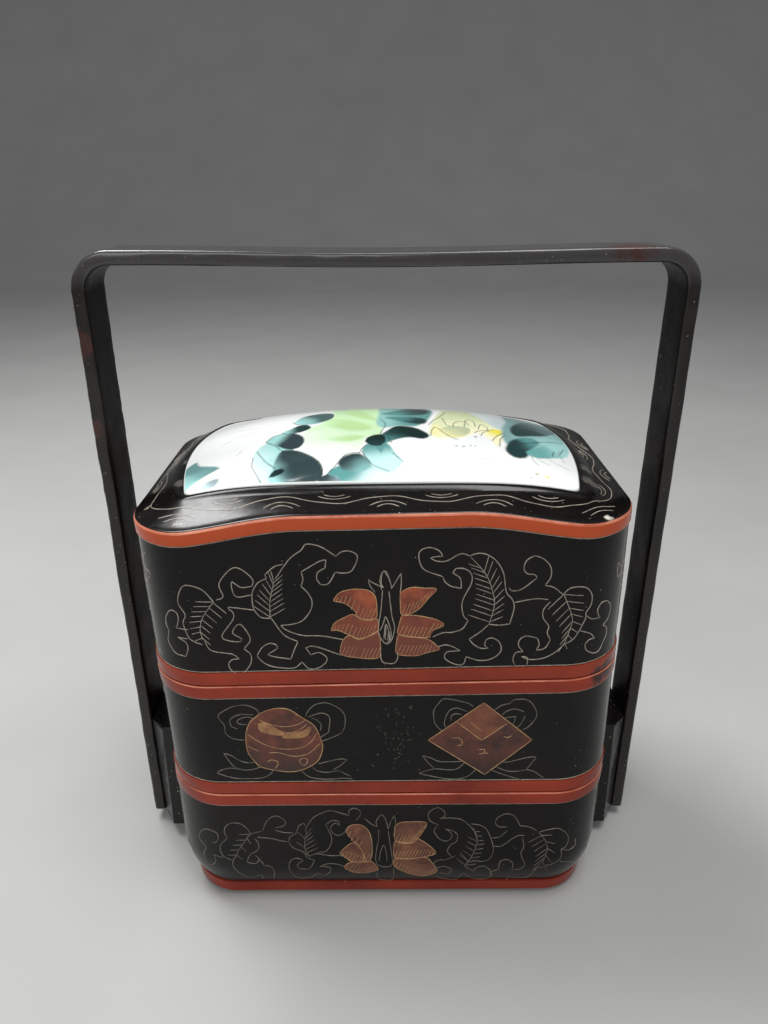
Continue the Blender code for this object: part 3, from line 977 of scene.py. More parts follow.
def handle_section():
    """Points (across, along) round the strip's section, with round edges and
    more points on its two wide sides."""
    half_thick = HANDLE_THICKNESS / 2
    section = []
    for quarter, (sign_out, sign_y) in enumerate(QUARTERS):
        for step in range(EDGE_STEPS + 1):
            angle = math.radians(90.0) * ((quarter - 1) + step / EDGE_STEPS)
            across = sign_out * (half_thick - HANDLE_ROUNDING) + HANDLE_ROUNDING * math.cos(angle)
            along = sign_y * (HANDLE_DEPTH / 2 - HANDLE_ROUNDING) + HANDLE_ROUNDING * math.sin(angle)
            section.append((across, along))
        if quarter % 2 == 0:
            start = section[-1][1]
            for step in range(1, SIDE_STEPS):
                section.append((sign_out * half_thick, start - 2.0 * start * (step / SIDE_STEPS)))
    return section


def handle_lumps(points):
    """How far the lumps in the handle's lacquer push each point."""
    broad, narrow = [swing * ripple(points, wave, seed) for swing, wave, seed in HANDLE_LUMPS]
    swing, wave, seed = LEFT_LEG_LUMPS
    left = np.clip((LEFT_LEG - points[:, 0]) / HANDLE_THICKNESS + 2.0, 0.0, 1.0)
    return broad + narrow + swing * left * ripple(points, wave, seed) * (points[:, 2] > LUMPS_FROM)


def make_handle(finishes):
    """The strip swept along its stations, with a duller inside."""
    section = handle_section()
    stations = handle_stations()
    points = []
    for x, z, out_x, out_z in stations:
        points += [(x + across * out_x, along, z + across * out_z) for across, along in section]
    points = np.array(points)
    lumps = handle_lumps(points)
    points[:, 0] += lumps
    points[:, 1] += DEPTH_SHARE * np.roll(lumps, DEPTH_LAG)
    count = len(section)
    last = len(points) - count
    faces = []
    for low in range(0, last, count):
        for step, after in pairs(list(range(count))):
            faces.append((low + step, low + after, low + count + after, low + count + step))
    faces.append(tuple(range(count))[::-1])
    faces.append(tuple(range(last, last + count)))
    inside = [across < 0.3 * HANDLE_ROUNDING - HANDLE_THICKNESS / 2 for across, _ in section]
    dull = [int(here and there) for here, there in pairs(inside)]
    slots = dull * (len(stations) - 1) + [0, 0]
    return finish_mesh("handle_strip", points, faces, finishes, slots, HANDLE_SHARP_ANGLE)


def distance_to(x, y, line, ends):
    """How far points are from segments, from each point of a line to its end."""
    nearest = np.full(len(x), 1e9)
    for (x0, y0), (x1, y1) in zip(line, ends):
        length = (x1 - x0) ** 2 + (y1 - y0) ** 2 + 1e-9
        share = np.clip(((x - x0) * (x1 - x0) + (y - y0) * (y1 - y0)) / length, 0.0, 1.0)
        gap = (x - x0 - share * (x1 - x0)) ** 2 + (y - y0 - share * (y1 - y0)) ** 2
        nearest = np.minimum(nearest, gap)
    return np.sqrt(nearest)


def soft_mask(x, y, points, soft):
    """1 inside a smoothed shape, falling to 0 over a soft edge."""
    line = np.array(curve_through(points, SHAPE_STEP, closed=True))
    ends = np.roll(line, -1, axis=0)
    inside = np.zeros(len(x), dtype=bool)
    for (x0, y0), (x1, y1) in zip(line, ends):
        crosses = (y0 > y) != (y1 > y)
        meet = x0 + (y - y0) * (x1 - x0) / ((y1 - y0) or 1e-9)
        inside ^= crosses & (x < meet)
    signed = np.where(inside, 1.0, -1.0) * distance_to(x, y, line, ends)
    return smooth_step(signed / (2.0 * soft) + 0.5)


def line_mask(x, y, points, width):
    """1 on a line, falling to 0 at its edges."""
    line = np.array(curve_through(points, INK_STEP))
    return 1.0 - smooth_step((distance_to(x, y, line, line[1:]) - 0.3 * width) / (0.5 * width))


SLATE = (52, 68, 70)
DARK_TEAL = (34, 60, 60)
GREEN_BLACK = (24, 46, 42)
MID_TEAL = (92, 150, 148)
PALE_TEAL = (166, 218, 214)
FAINT_TEAL = (214, 240, 238)
WHITE = (247, 249, 247)
PALE_GREEN = (206, 240, 190)
FRESH_GREEN = (190, 224, 160)
CREAM = (246, 240, 178)
YELLOW = (240, 226, 70)
SAGE = (188, 198, 162)
ASH = (150, 166, 172)

# The painted lotus leaves and flower, from the back to the front: corners on
# the panel, the dark and the pale colour, where each is, and the soft edge
PAINTED = [
    ([(-84, -22), (-81, -20), (-78, -26), (-70, -31), (-68, -33), (-74, -37), (-79, -42), (-82, -47),
      (-86, -44), (-86, -30)], (104, 146, 146), PALE_TEAL, (-77, -29), (-82, -42), 0.8),
    ([(-74, -46), (-72, -42), (-67, -41), (-68, -46), (-72, -48)],
     ASH, FAINT_TEAL, (-68, -42), (-74, -47), 0.7),
    ([(-22, -2), (-22, 20), (-13, 30), (-4, 24), (0, 8), (0, -20), (-6, -21), (-8, -28), (-10, -32),
      (-16, -34), (-24, -40), (-31, -34), (-33, -27), (-34, -19), (-31, -10)],
     PALE_GREEN, (240, 250, 236), (-10, -8), (-24, -34), 1.0),
    ([(-26, -2), (-16, -3), (-4, -13), (-11, -16), (-24, -10)],
     FRESH_GREEN, PALE_GREEN, (-16, -8), (-27, -6), 1.8),
    ([(-24, -22), (-15, -20), (-7, -21), (-14, -25)], FRESH_GREEN, PALE_GREEN, (-10, -22), (-25, -23), 1.4),
    ([(-20, 24), (-12, 16), (-2, -5), (-10, -1), (-18, 10)],
     FRESH_GREEN, PALE_GREEN, (-8, 4), (-18, 20), 1.8),
    ([(-48, -49), (-51, -42), (-53, -36), (-54, -29), (-53, -24), (-49, -20), (-43, -24), (-37, -28),
      (-36, -40), (-40, -49)], PALE_TEAL, FAINT_TEAL, (-42, -30), (-54, -34), 0.4),
    ([(-46, -46), (-45, -40), (-44, -33), (-42, -28), (-36, -29), (-30, -33), (-26, -37), (-24, -42),
      (-25, -47), (-34, -50), (-42, -49)], SLATE, PALE_TEAL, (-38, -38), (-47, -42), 0.5),
    ([(-50, -19), (-47, -14), (-42, -13), (-38, -14), (-34, -18), (-33, -23), (-35, -27), (-38, -28),
      (-42, -26), (-46, -22)], SLATE, PALE_TEAL, (-41, -21), (-46, -18), 0.4),
    ([(-44, -12), (-40, -9), (-37, -6), (-33, -6), (-31, -10), (-34, -13), (-38, -14), (-42, -14)],
     DARK_TEAL, PALE_TEAL, (-36, -10), (-43, -12), 0.4),
    ([(-39, -2), (-37, 6), (-32, 10), (-26, 11), (-22, 8), (-22, 0), (-26, -4), (-30, -6), (-36, -5)],
     (70, 100, 98), PALE_TEAL, (-28, 3), (-37, -3), 0.5),
    ([(-26, -48), (-22, -44), (-18, -46), (-13, -49)], SLATE, ASH, (-23, -45), (-14, -49), 0.3),
    ([(-22, -44), (-18, -40), (-12, -41), (-6, -39), (0, -42), (8, -43), (4, -49), (-13, -49), (-18, -46)],
     MID_TEAL, FAINT_TEAL, (-12, -41), (-4, -48), 0.6),
    ([(-8, -32), (-8, -30), (-6, -27), (0, -26), (3, -27), (6, -33), (9, -38), (5, -43), (0, -43),
      (-5, -38)], MID_TEAL, (196, 238, 234), (0, -27), (2, -37), 0.5),
    ([(-18, -39), (-16, -35), (-12, -33), (-9, -33), (-6, -36), (-4, -40), (-8, -43), (-12, -43),
      (-16, -42)], SLATE, (128, 176, 174), (-13, -36), (-9, -43), 0.6),
    ([(0, 25), (10, 30), (20, 26), (24, 12), (21, -4), (18, -9), (15, -12), (7, -12), (2, -14), (-2, -10),
      (-1, 4)], (96, 150, 146), (150, 200, 194), (14, 0), (0, 0), 1.0),
    ([(0, 4), (8, 12), (16, 26), (22, 14), (20, 5), (10, 2)], DARK_TEAL, MID_TEAL, (19, 12), (2, 5), 1.2),
    ([(2, -2), (12, -1), (20, -3), (19, -9), (11, -8)], DARK_TEAL, MID_TEAL, (17, -5), (3, -3), 1.0),
    ([(-1, -22), (3, -16), (7, -12), (14, -13), (18, -16), (21, -20), (18, -23), (12, -22), (6, -24),
      (2, -27), (0, -33), (-2, -30)], GREEN_BLACK, MID_TEAL, (11, -18), (2, -30), 0.6),
    ([(-7, -25), (-6, -22), (-3, -20), (1, -20), (2, -25), (0, -28), (-4, -28)],
     GREEN_BLACK, DARK_TEAL, (-2, -22), (-2, -28), 0.4),
    ([(21, -19), (22, -10), (25, 2), (30, 18), (38, 22), (43, 18), (49, 8), (54, -4), (54, -14), (50, -24),
      (48, -20), (46, -17), (42, -14), (37, -19), (32, -22), (26, -22)],
     (212, 222, 176), (250, 246, 208), (32, 6), (40, -18), 0.8),
    ([(42, 22), (52, 30), (60, 30), (55, -4), (49, -1)],
     (198, 212, 212), (230, 238, 236), (56, 4), (46, 16), 1.5),
    ([(22, -18), (23, -10), (25, -9), (30, -20), (37, -19), (33, -24), (26, -23)],
     CREAM, WHITE, (25, -14), (33, -24), 0.8),
    ([(26, -13), (33, -9), (39, -10), (38, -16), (32, -21), (28, -19)],
     SAGE, CREAM, (34, -12), (28, -20), 0.7),
    ([(47, -10), (51, -7), (54, -7), (53, -12), (50, -16), (47, -14)],
     YELLOW, CREAM, (51, -9), (49, -17), 0.6),
    ([(60, 30), (72, 36), (84, 34), (87, 16), (85, 2), (76, -10), (62, -22), (54, -20), (54, -6), (58, 10)],
     (126, 164, 162), (160, 208, 204), (60, 8), (80, -2), 1.2),
    ([(58, -5), (61, 6), (70, 24), (80, 34), (85, 24), (76, 4), (66, -6), (60, -10)],
     DARK_TEAL, (108, 140, 142), (64, 2), (82, 24), 1.0),
    ([(54, -22), (57, -16), (64, -9), (69, -8), (70, -12), (65, -22), (61, -30), (56, -31), (53, -27)],
     DARK_TEAL, MID_TEAL, (59, -20), (69, -14), 0.8),
    ([(62, -25), (70, -15), (80, -4), (87, 4), (82, -16), (74, -24), (66, -28)],
     (108, 170, 166), PALE_TEAL, (68, -20), (80, -16), 0.8),
    ([(-46, -44.5), (-44, -40.5), (-41, -39.7), (-39.6, -41.3), (-41, -43), (-44, -44.5)],
     (30, 44, 46), DARK_TEAL, (-42, -41), (-45, -44), 0.3),
    ([(-46, 26), (-36, 40), (-14, 42), (-4, 34), (-12, 26), (-30, 22)],
     SLATE, PALE_TEAL, (-20, 36), (-30, 22), 1.2),
    ([(22, 32), (34, 43), (54, 40), (52, 30), (38, 26)], DARK_TEAL, PALE_TEAL, (32, 38), (48, 28), 1.0),
]
INK = (40, 54, 52)
FAINT_INK = (196, 198, 196)
PAINTED_LINES = [
    (INK, [(-53, -26), (-51, -30), (-48, -35), (-43.6, -39.7)]),
    (INK, [(-54, -30), (-54, -36), (-51, -43), (-48, -49)]),
    (INK, [(-50, -19), (-45, -23.7), (-42, -28), (-36, -29), (-30, -33), (-26, -37), (-24, -42), (-25, -47)]),
    (INK, [(-50, -19), (-47, -14), (-42, -13)]),
    (INK, [(-44, -12), (-41, -14), (-38, -14)]),
    (INK, [(-40, 0), (-38, -4), (-33, -6)]),
    (INK, [(-22, -44), (-19, -40), (-17, -36.5), (-14, -33), (-9, -32.5), (-8.2, -30), (-6, -27)]),
    (INK, [(-8, -32), (-6, -36), (-3, -40), (3, -43)]),
    (INK, [(5, -33), (7, -35.7), (9, -38)]),
    (INK, [(-0.4, -3.7), (2, -10), (0.4, -16.5), (-0.4, -19.7)]),
    (INK, [(3, -22), (4.4, -26)]),
    (INK, [(21.5, -20), (22, -15.7), (23.6, -11.7), (25, -13), (27, -16.5), (30, -20), (33, -22)]),
    (INK, [(21, -10), (23.6, -3.7), (26.8, 2), (30, 12)]),
    (INK, [(27.6, 0.3), (29, -8.5), (31, -10)]),
    (INK, [(32, -10), (32.4, -6), (34.8, -3), (38, -2), (39, -6)]),
    (INK, [(37, -9), (38, -1.3), (40.4, 2), (42, -1), (42, -7)]),
    (INK, [(43, -10), (45, -3), (47.6, -7), (47, -10)]),
    (INK, [(41, -14), (43, -11.7), (46, -10), (50, -8)]),
    (INK, [(43.6, -16.5), (45, -12.5), (48, -10)]),
    (INK, [(48, -20), (50, -15.7), (54, -10)]),
    (INK, [(50.8, -24), (52, -17), (54.5, -12)]),
    (INK, [(57, -20), (67.6, -12.5), (84, 3)]),
    (INK, [(62, 2), (70, 4), (78, 3)]),
    (INK, [(74, -22), (75, -19), (76, -16)]),
    (INK, [(78, -18), (80, -13), (82, -8)]),
    (ASH, [(64, -26), (64, -30), (66, -34)]),
    (ASH, [(64, -26), (68, -30), (71, -32)]),
    (ASH, [(70, -25), (75, -29), (80, -31)]),
    (ASH, [(79, -12), (78, -18), (79, -25)]),
    (FAINT_INK, [(41, -35), (46, -40), (50, -44)]),
    (FAINT_INK, [(41, -35), (44, -34), (47, -34)]),
    (FAINT_INK, [(58, -47), (64, -46), (72, -46)]),
    (FAINT_INK, [(-81, 8), (-70, 6), (-56, 1)]),
    (FAINT_INK, [(-71, -11), (-66, -7), (-56, -4)]),
    (FAINT_INK, [(-62, -26), (-61, -24), (-60, -22)]),
]
PAINTED_SPECKS = [
    (68, -42, YELLOW, 1.0), (64, -41, (176, 170, 110), 0.9), (61, -44, ASH, 0.6), (41, -18, INK, 0.7),
    (32, -27, ASH, 0.7), (35, -27, ASH, 0.8), (38, -26, ASH, 0.6), (40, -26, ASH, 0.5),
]


def paint_panel(x, y):
    """The colours of the panel's painting at points of its plan."""
    flat = np.column_stack([x, y, np.zeros(len(x))])
    swing, wave, seed = GROUND_CLOUDS
    shade = linear(*WHITE) * (1.0 - swing * (ripple(flat, wave, seed)[:, None] + 1.0))
    swing, wave, seed = COLOUR_CLOUDS
    clouds = swing * ripple(flat, wave, seed)
    for points, dark, pale, at_dark, at_pale, soft in PAINTED:
        axis = np.array(at_pale, dtype=float) - np.array(at_dark, dtype=float)
        share = ((x - at_dark[0]) * axis[0] + (y - at_dark[1]) * axis[1]) / (axis @ axis)
        share = smooth_step(share + clouds)[:, None]
        tint = linear(*dark) * (1.0 - share) + linear(*pale) * share
        mask = soft_mask(x, y, points, soft)[:, None]
        shade = shade * (1.0 - mask) + tint * mask
    for tint, points in PAINTED_LINES:
        mask = INK_STRENGTH * line_mask(x, y, points, INK_WIDTH)[:, None]
        shade = shade * (1.0 - mask) + linear(*tint) * mask
    for place_x, place_y, tint, size in PAINTED_SPECKS:
        away = np.hypot(x - place_x, (y - place_y) * SPECK_SQUASH)
        mask = (1.0 - smooth_step((away - 0.4 * size) / size))[:, None]
        shade = shade * (1.0 - mask) + linear(*tint) * mask
    return np.clip(shade, 0.0, 1.0)


def panel_grid():
    """Points of the panel's plan, row by row from the front."""
    along = np.linspace(-1.0, 1.0, PANEL_ROWS)
    share, y = np.meshgrid(np.linspace(-1.0, 1.0, PANEL_COLUMNS), along)
    half_depth = PANEL_HALF_DEPTH - PANEL_EDGE
    y = y * half_depth
    past = np.maximum(np.abs(y) - (half_depth - PANEL_CORNER), 0.0)
    corner = PANEL_CORNER - np.sqrt(np.maximum(PANEL_CORNER**2 - past**2, 0.0))
    bow = side_bow(share, y) * smooth_step(2.0 * np.abs(share) - 1.0)
    x = share * (PANEL_HALF_WIDTH - PANEL_EDGE - corner + bow)
    return x.ravel(), y.ravel()


def make_panel(finish):
    """The curved panel: a fine painted top, a rounded edge and its back."""
    x, y = panel_grid()
    top = np.column_stack([x, y, panel_height(x, y)])
    swing, wave, seed = PANEL_WAVES
    top[:, 2] += swing * ripple(np.column_stack([x, y, np.zeros(len(x))]), wave, seed)
    grid = np.arange(PANEL_ROWS * PANEL_COLUMNS).reshape(PANEL_ROWS, PANEL_COLUMNS)
    quads = [grid[:-1, :-1], grid[:-1, 1:], grid[1:, 1:], grid[1:, :-1]]
    faces = np.stack(quads, axis=2).reshape(-1, 4).tolist()
    rim = np.concatenate([grid[0], grid[1:, -1], grid[-1, -2::-1], grid[-2:0:-1, 0]]).tolist()
    edge = top[rim]
    ahead = ahead_on(edge[:, :2])
    outward = unit_rows(np.column_stack([ahead[:, 1], -ahead[:, 0]]))
    points, shades = [top], [paint_panel(x, y)]
    loop, total = rim, len(top)
    for out, down in PANEL_EDGE_STEPS:
        ring = edge.copy()
        ring[:, :2] += outward * out
        ring[:, 2] -= down
        points.append(ring)
        shades.append(np.tile(linear(*EDGE_TINT), (len(ring), 1)))
        here = list(range(total, total + len(ring)))
        total += len(ring)
        faces += [(a, c, d, b) for (a, b), (c, d) in zip(pairs(loop), pairs(here))]
        loop = here
    back = edge.mean(axis=0) + np.array([0.0, 0.0, PANEL_HOLLOW - PANEL_THICKNESS])
    points.append(back[None, :])
    shades.append(linear(*BACK_TINT)[None, :])
    faces += [(a, total, b) for a, b in pairs(loop)]
    piece = finish_mesh("porcelain_shard", leaned(np.vstack(points)), faces, [finish], None)
    paint = piece.data.color_attributes.new("paint", "FLOAT_COLOR", "POINT")
    tints = np.column_stack([np.vstack(shades), np.ones(total + 1)])
    paint.data.foreach_set("color", tints.astype(np.float32).ravel())
    return piece


# The wave round the lid's border, in millimetres up the slope from its line:
# its length and swing, and the half length, foot and hump of each arc beside it
WAVE_LINE = 0.60
WAVE_LENGTH = 41.0
WAVE_SWING = 2.5
UNDER_CREST = ((7.3, -4.3, 3.3), (4.4, -5.4, 2.1))
OVER_TROUGH = ((6.4, 2.7, -2.1), (4.0, 3.7, -1.2))
WAVE_WIDTH = 0.55
WAVE_STEP = 0.7
ARC_POINTS = 15
# The wave's small irregular swing, and the run over which it shifts
WOBBLE = 0.25
WOBBLE_RUN = 31.0
# Corners whose inner edge is shorter than this share get no outer arcs
TIGHT_CORNER = 0.6


def make_border_waves(finish):
    """The silver wave round the lid's border, with pairs of arcs beside it."""
    edge = placed("lid", rim_ring(SHOULDER, 0.0))
    foot = placed("lid", panel_ring(PANEL_CLEARANCE + LIP_WIDTH, LIP_RISE, LIP_EXTRA))
    middle = 0.5 * (edge + foot)
    steps = np.linalg.norm(np.roll(middle, -1, axis=0) - middle, axis=1)
    inner_steps = np.linalg.norm(np.roll(foot, -1, axis=0) - foot, axis=1)
    places = np.concatenate([[0.0], np.cumsum(steps)])
    whole = places[-1]
    ring_edge = np.vstack([edge, edge[:1]])
    ring_foot = np.vstack([foot, foot[:1]])

    def spot(run, up):
        """Points of the border by the way round it and up its slope."""
        run = np.asarray(run) % whole
        low = np.column_stack([np.interp(run, places, ring_edge[:, k]) for k in range(3)])
        high = np.column_stack([np.interp(run, places, ring_foot[:, k]) for k in range(3)])
        width = np.linalg.norm(high - low, axis=1)
        share = WAVE_LINE + np.asarray(up) / width
        return low + (high - low) * share[:, None]

    def normals(run, up):
        ahead = spot(run + 0.5, up) - spot(run - 0.5, up)
        inward = spot(run, up + 0.5) - spot(run, up - 0.5)
        return np.cross(ahead, inward)

    lines = Lines()
    count = int(round(whole / WAVE_LENGTH))
    length = whole / count
    start = places[int(np.argmin(np.abs(middle[:, 0]) + 1000.0 * (middle[:, 1] > 0.0)))]
    run = np.arange(0.0, whole, WAVE_STEP)
    turn = (run - start) / length * 2.0 * math.pi
    up = WAVE_SWING * np.cos(turn) + WOBBLE * np.sin(3.0 * turn + 0.6 * np.sin(run / WOBBLE_RUN))
    lines.add(spot(run, up), normals(run, up), WAVE_WIDTH, closed=True)
    for index in range(2 * count):
        centre = start + 0.5 * index * length
        here = int(np.searchsorted(places, centre % whole)) % len(steps)
        under_crest = index % 2 == 0
        if not under_crest and inner_steps[here] < TIGHT_CORNER * steps[here]:
            continue
        for reach, level, hump in (UNDER_CREST if under_crest else OVER_TROUGH):
            across = np.linspace(-reach, reach, ARC_POINTS)
            up = level + hump * (1.0 - (across / reach) ** 2)
            lines.add(spot(centre + across, up), normals(centre + across, up), BOLD)
    return lines.make("border_waves", finish)


def band_lines(finish):
    """The fine pale line where a black wall meets a red band."""
    gap = BAND + BAND_LINE_GAP
    rings = [
        ("bottom", level_ring(TUCK + BAND_PROUD, FOOT + gap)),
        ("bottom", level_ring(BAND_PROUD, BOTTOM_SEAM - gap)),
        ("middle", level_ring(BAND_PROUD, MIDDLE_BASE + gap)),
        ("middle", level_ring(BAND_PROUD, MIDDLE_SEAM - gap)),
        ("lid", level_ring(BAND_PROUD, LID_BASE + gap)),
        ("lid", rim_ring(BAND_PROUD, gap)),
    ]
    lines = Lines()
    for tier, ring in rings:
        points = placed(tier, ring)
        ahead = ahead_on(points)
        outward = np.column_stack([ahead[:, 1], -ahead[:, 0], np.zeros(len(points))])
        lines.add(points, outward, BOLD, closed=True)
    return lines.make("band_edge_lines", finish)


# Incised decoration: distance round the wall from the middle of the front,
# and height above the piece's base
LID_SCROLLS = [
    [(-68.5, 40.5), (-73, 46.5), (-80, 48), (-83.5, 40.5), (-81, 34.5), (-82.5, 30.5), (-81, 24),
     (-79, 22), (-75.5, 20.5)],
    [(-67.5, 41.5), (-64.5, 43), (-65.5, 49), (-60, 55.5), (-56, 55), (-52, 50.5), (-52.5, 47.5)],
    [(-52.5, 47.5), (-57, 47), (-60.5, 49.5), (-59.5, 43), (-53, 43.5)],
    [(-52.5, 36.5), (-63, 38), (-61.5, 36), (-61.5, 32.5), (-67, 24.5), (-64, 22), (-59.5, 21.5)],
    [(-59.5, 21.5), (-59, 23), (-62.5, 26), (-59, 30), (-55.5, 23), (-58.5, 18)],
    [(-58.5, 18), (-56, 15), (-56.5, 10.5), (-59.5, 6.5), (-62, 5.5), (-65, 8), (-65.5, 11), (-63.5, 13),
     (-61, 13)],
    [(-61, 13), (-63.5, 15.5), (-72, 17.5), (-74.5, 22.5)],
    [(-80.5, 27.5), (-86, 27.5)],
    [(-86, 27.5), (-84.5, 32), (-85, 35), (-88, 35.5), (-91, 31.5), (-91.5, 27.5), (-90.5, 25),
     (-92, 20), (-90.5, 16.5), (-88.5, 14.5), (-83.5, 14)],
    [(-83.5, 14), (-82, 18), (-82.5, 21), (-86, 23)],
    [(-86, 23), (-81.5, 23)],
    [(-39.5, 57), (-43, 56), (-47, 52.5)],
    [(-47, 52.5), (-46.5, 51), (-50, 49), (-52.5, 45), (-53, 40.5), (-52.5, 36.5), (-50, 33),
     (-46, 32.5)],
    [(-43, 50.5), (-37, 59), (-32, 63), (-30, 65.5), (-26, 65), (-23, 63.5), (-18.5, 60)],
    [(-18.5, 60), (-16, 62), (-12.5, 62), (-10, 59.5), (-12.5, 53.5), (-16, 52.5), (-19, 53)],
    [(-19, 53), (-22, 48), (-25, 47.5)],
    [(-25, 47.5), (-26.5, 50), (-26, 53), (-23, 55)],
    [(-23, 55), (-22.5, 58.5)],
    [(-22.5, 58.5), (-25, 58), (-32.5, 53.5)],
    [(-32.5, 53.5), (-32, 50), (-33, 47)],
    [(-33, 47), (-30.5, 44), (-29, 40), (-30, 35.5), (-33.5, 31), (-37.5, 29.5), (-42.5, 29)],
    [(-42.5, 29), (-40, 26.5), (-34, 24), (-26, 23.5), (-17, 21.5)],
    [(-46, 32.5), (-41.5, 24.5), (-36, 21)],
    [(-36, 21), (-38, 16.5), (-39.5, 12.5)],
    [(-39.5, 12.5), (-47, 14), (-49, 15)],
    [(-49, 15), (-44.5, 18)],
    [(-44.5, 18), (-45, 19.5), (-47.5, 20.5), (-51, 18.5), (-53.5, 14.5)],
    [(-53.5, 14.5), (-51.5, 11.5), (-47.5, 9), (-41, 8), (-37.5, 8.5), (-35, 11)],
    [(-35, 11), (-32, 7.5), (-28, 8), (-25, 10.5), (-24.5, 13), (-27.5, 15.5), (-31, 14.5)],
    [(-31, 14.5), (-33, 18)],
    [(-33, 18), (-29, 18.5), (-18.5, 14)],
    [(34, 59), (37, 60), (40.5, 59.5), (44.5, 56.5), (47.5, 51), (49, 42.5), (51.5, 39), (52.5, 35),
     (51, 27.5)],
    [(51, 27.5), (47, 27), (42.5, 27.5)],
    [(34, 59), (30.5, 60), (25, 57), (21, 57), (18.5, 58.5)],
    [(18.5, 58.5), (21, 59), (23.5, 59)],
    [(23.5, 59), (22, 61.5), (18.5, 63), (15, 62), (14, 59), (16, 53.5), (23.5, 50)],
    [(23.5, 50), (24.5, 47.5), (27, 45.5), (31, 44.5)],
    [(31, 44.5), (30.5, 49), (27.5, 51.5)],
    [(27.5, 51.5), (28.5, 53.5)],
    [(28.5, 53.5), (31.5, 53.5), (34.5, 51.5), (35, 47), (31.5, 38.5), (32, 32), (34, 29.5)],
    [(34, 29.5), (31.5, 25.5), (27, 24), (24, 24), (19.5, 22)],
    [(42.5, 27.5), (39, 24), (34.5, 20.5)],
    [(34.5, 20.5), (36.5, 18), (39.5, 16), (42.5, 16)],
    [(42.5, 16), (41, 17.5), (41.5, 20)],
    [(41.5, 20), (43.5, 21), (46.5, 19.5), (48, 16), (47, 13), (43.5, 10.5), (39, 10), (33.5, 12)],
    [(33.5, 12), (32.5, 8.5), (30, 8), (26, 10), (24.5, 12), (25.5, 14.5), (31, 15)],
    [(31, 15), (28, 17), (25, 18), (21, 17)],
    [(50, 44.5), (51, 43), (55, 43.5), (61, 48.5)],
    [(61, 48.5), (60, 50), (57, 50.5), (55.5, 53), (56.5, 56.5), (59.5, 58.5)],
    [(59.5, 58.5), (63, 57), (66, 53.5), (66.5, 49), (64.5, 45)],
    [(64.5, 45), (68, 44), (72, 40.5)],
    [(52.5, 37.5), (61, 39), (66, 38.5)],
    [(72, 41), (74.5, 43.5), (78, 44), (81.5, 43), (84, 39.5), (84, 35), (82, 31.5), (82, 28.5),
     (78, 20), (74, 17), (70, 13), (65.5, 10.5), (60, 10), (56.5, 11.5)],
    [(67, 37.5), (64.5, 34), (64.5, 30), (67, 26), (66.5, 23), (68, 19.5)],
    [(68, 19.5), (66, 15.5), (62.5, 14.5)],
    [(62.5, 14.5), (63.5, 17.5), (62.5, 20.5)],
    [(62.5, 20.5), (58, 21.5), (55.5, 20), (55, 17), (57, 14)],
    [(57, 14), (54, 13.5), (53, 10), (54, 7.5)],
    [(56.5, 11.5), (59, 11), (59, 7)],
    [(82.5, 30), (85, 28), (89, 27.5)],
    [(89, 27.5), (87.5, 31.5), (89.5, 34.5), (93, 34), (95.5, 30.5), (94.5, 25.5), (91.5, 23)],
    [(91.5, 23), (94, 21), (94.5, 17), (93, 14.5), (91, 11), (88, 10.5), (84, 13), (83, 16)],
    [(83, 16), (85, 18), (87.5, 18)],
    [(87.5, 18), (85, 21), (79.5, 23.5)],
]
# Leaves: a rib, then for each side how many veins, where along the rib they
# begin, and the first and the last vein as steps from the rib
LID_LEAVES = [
    ([(-68.6, 40.6), (-72.2, 36), (-74.6, 31.8), (-75.6, 27.1), (-75, 22.9)],
     (8, 0.0, (-7.4, 0.3), (-3.0, -1.4)), (7, 0.03, (5.0, -5.2), (3.0, -3.4))),
    ([(-44.5, 54.3), (-43.8, 49.5), (-44.8, 45), (-45.9, 40.4), (-46.5, 32.3)],
     (8, 0.26, (4.0, 3.7), (6.4, 3.9)), (7, 0.3, (-1.4, 5.4), (-6.4, 5.4))),
    ([(34.2, 58.7), (40.7, 50.4), (43.9, 41.3), (44.3, 35.2), (42.5, 27.4)],
     (11, 0.2, (-5.2, 2.2), (-8.9, 3.6)), (10, 0.26, (1.7, 7.6), (5.2, 2.4))),
    ([(72.2, 40.8), (75.9, 31.3), (76.3, 26.6), (73.8, 17.1)],
     (8, 0.0, (8.0, -1.0), (1.2, -3.0)), (8, 0.0, (-6.0, -6.8), (-2.4, -4.5))),
]
LID_PETALS = [
    [(-20.5, 40), (-18, 43.5), (-13.5, 45), (-8.5, 45), (-5.5, 44), (-3.5, 41.5), (-3, 36.5),
     (-3.5, 31.5), (-7, 31), (-10.5, 32), (-12, 35), (-15.5, 38.5)],
    [(-22, 26), (-20.5, 29.5), (-16.5, 32), (-13, 33.5), (-10, 31.5), (-6.5, 30.5), (-3, 31), (-3, 25.5),
     (-6.5, 23), (-11, 22), (-15, 24), (-19, 26)],
    [(-19, 15), (-17.5, 21), (-14.5, 23.5), (-11, 21.5), (-6.5, 23), (-3, 25), (-2, 20.5), (-2.5, 13),
     (-6.5, 12), (-11, 12.5), (-16.5, 13.5)],
    [(6.5, 43), (9.5, 45), (12.5, 45.5), (16, 45), (21, 44.5), (18, 40.5), (14.5, 36), (11, 33.5),
     (7, 33), (6.5, 37.5)],
    [(7, 32.5), (11.5, 32.5), (17, 31.5), (21.5, 30), (24, 27.5), (18.5, 24.5), (18.5, 22), (12, 22),
     (5.5, 23.5), (6, 28.5)],
    [(5.5, 23.5), (12, 22), (17.5, 21), (20.5, 18.5), (22.5, 16), (17.5, 14.5), (12.5, 13), (5, 14),
     (4.5, 18.5)],
]
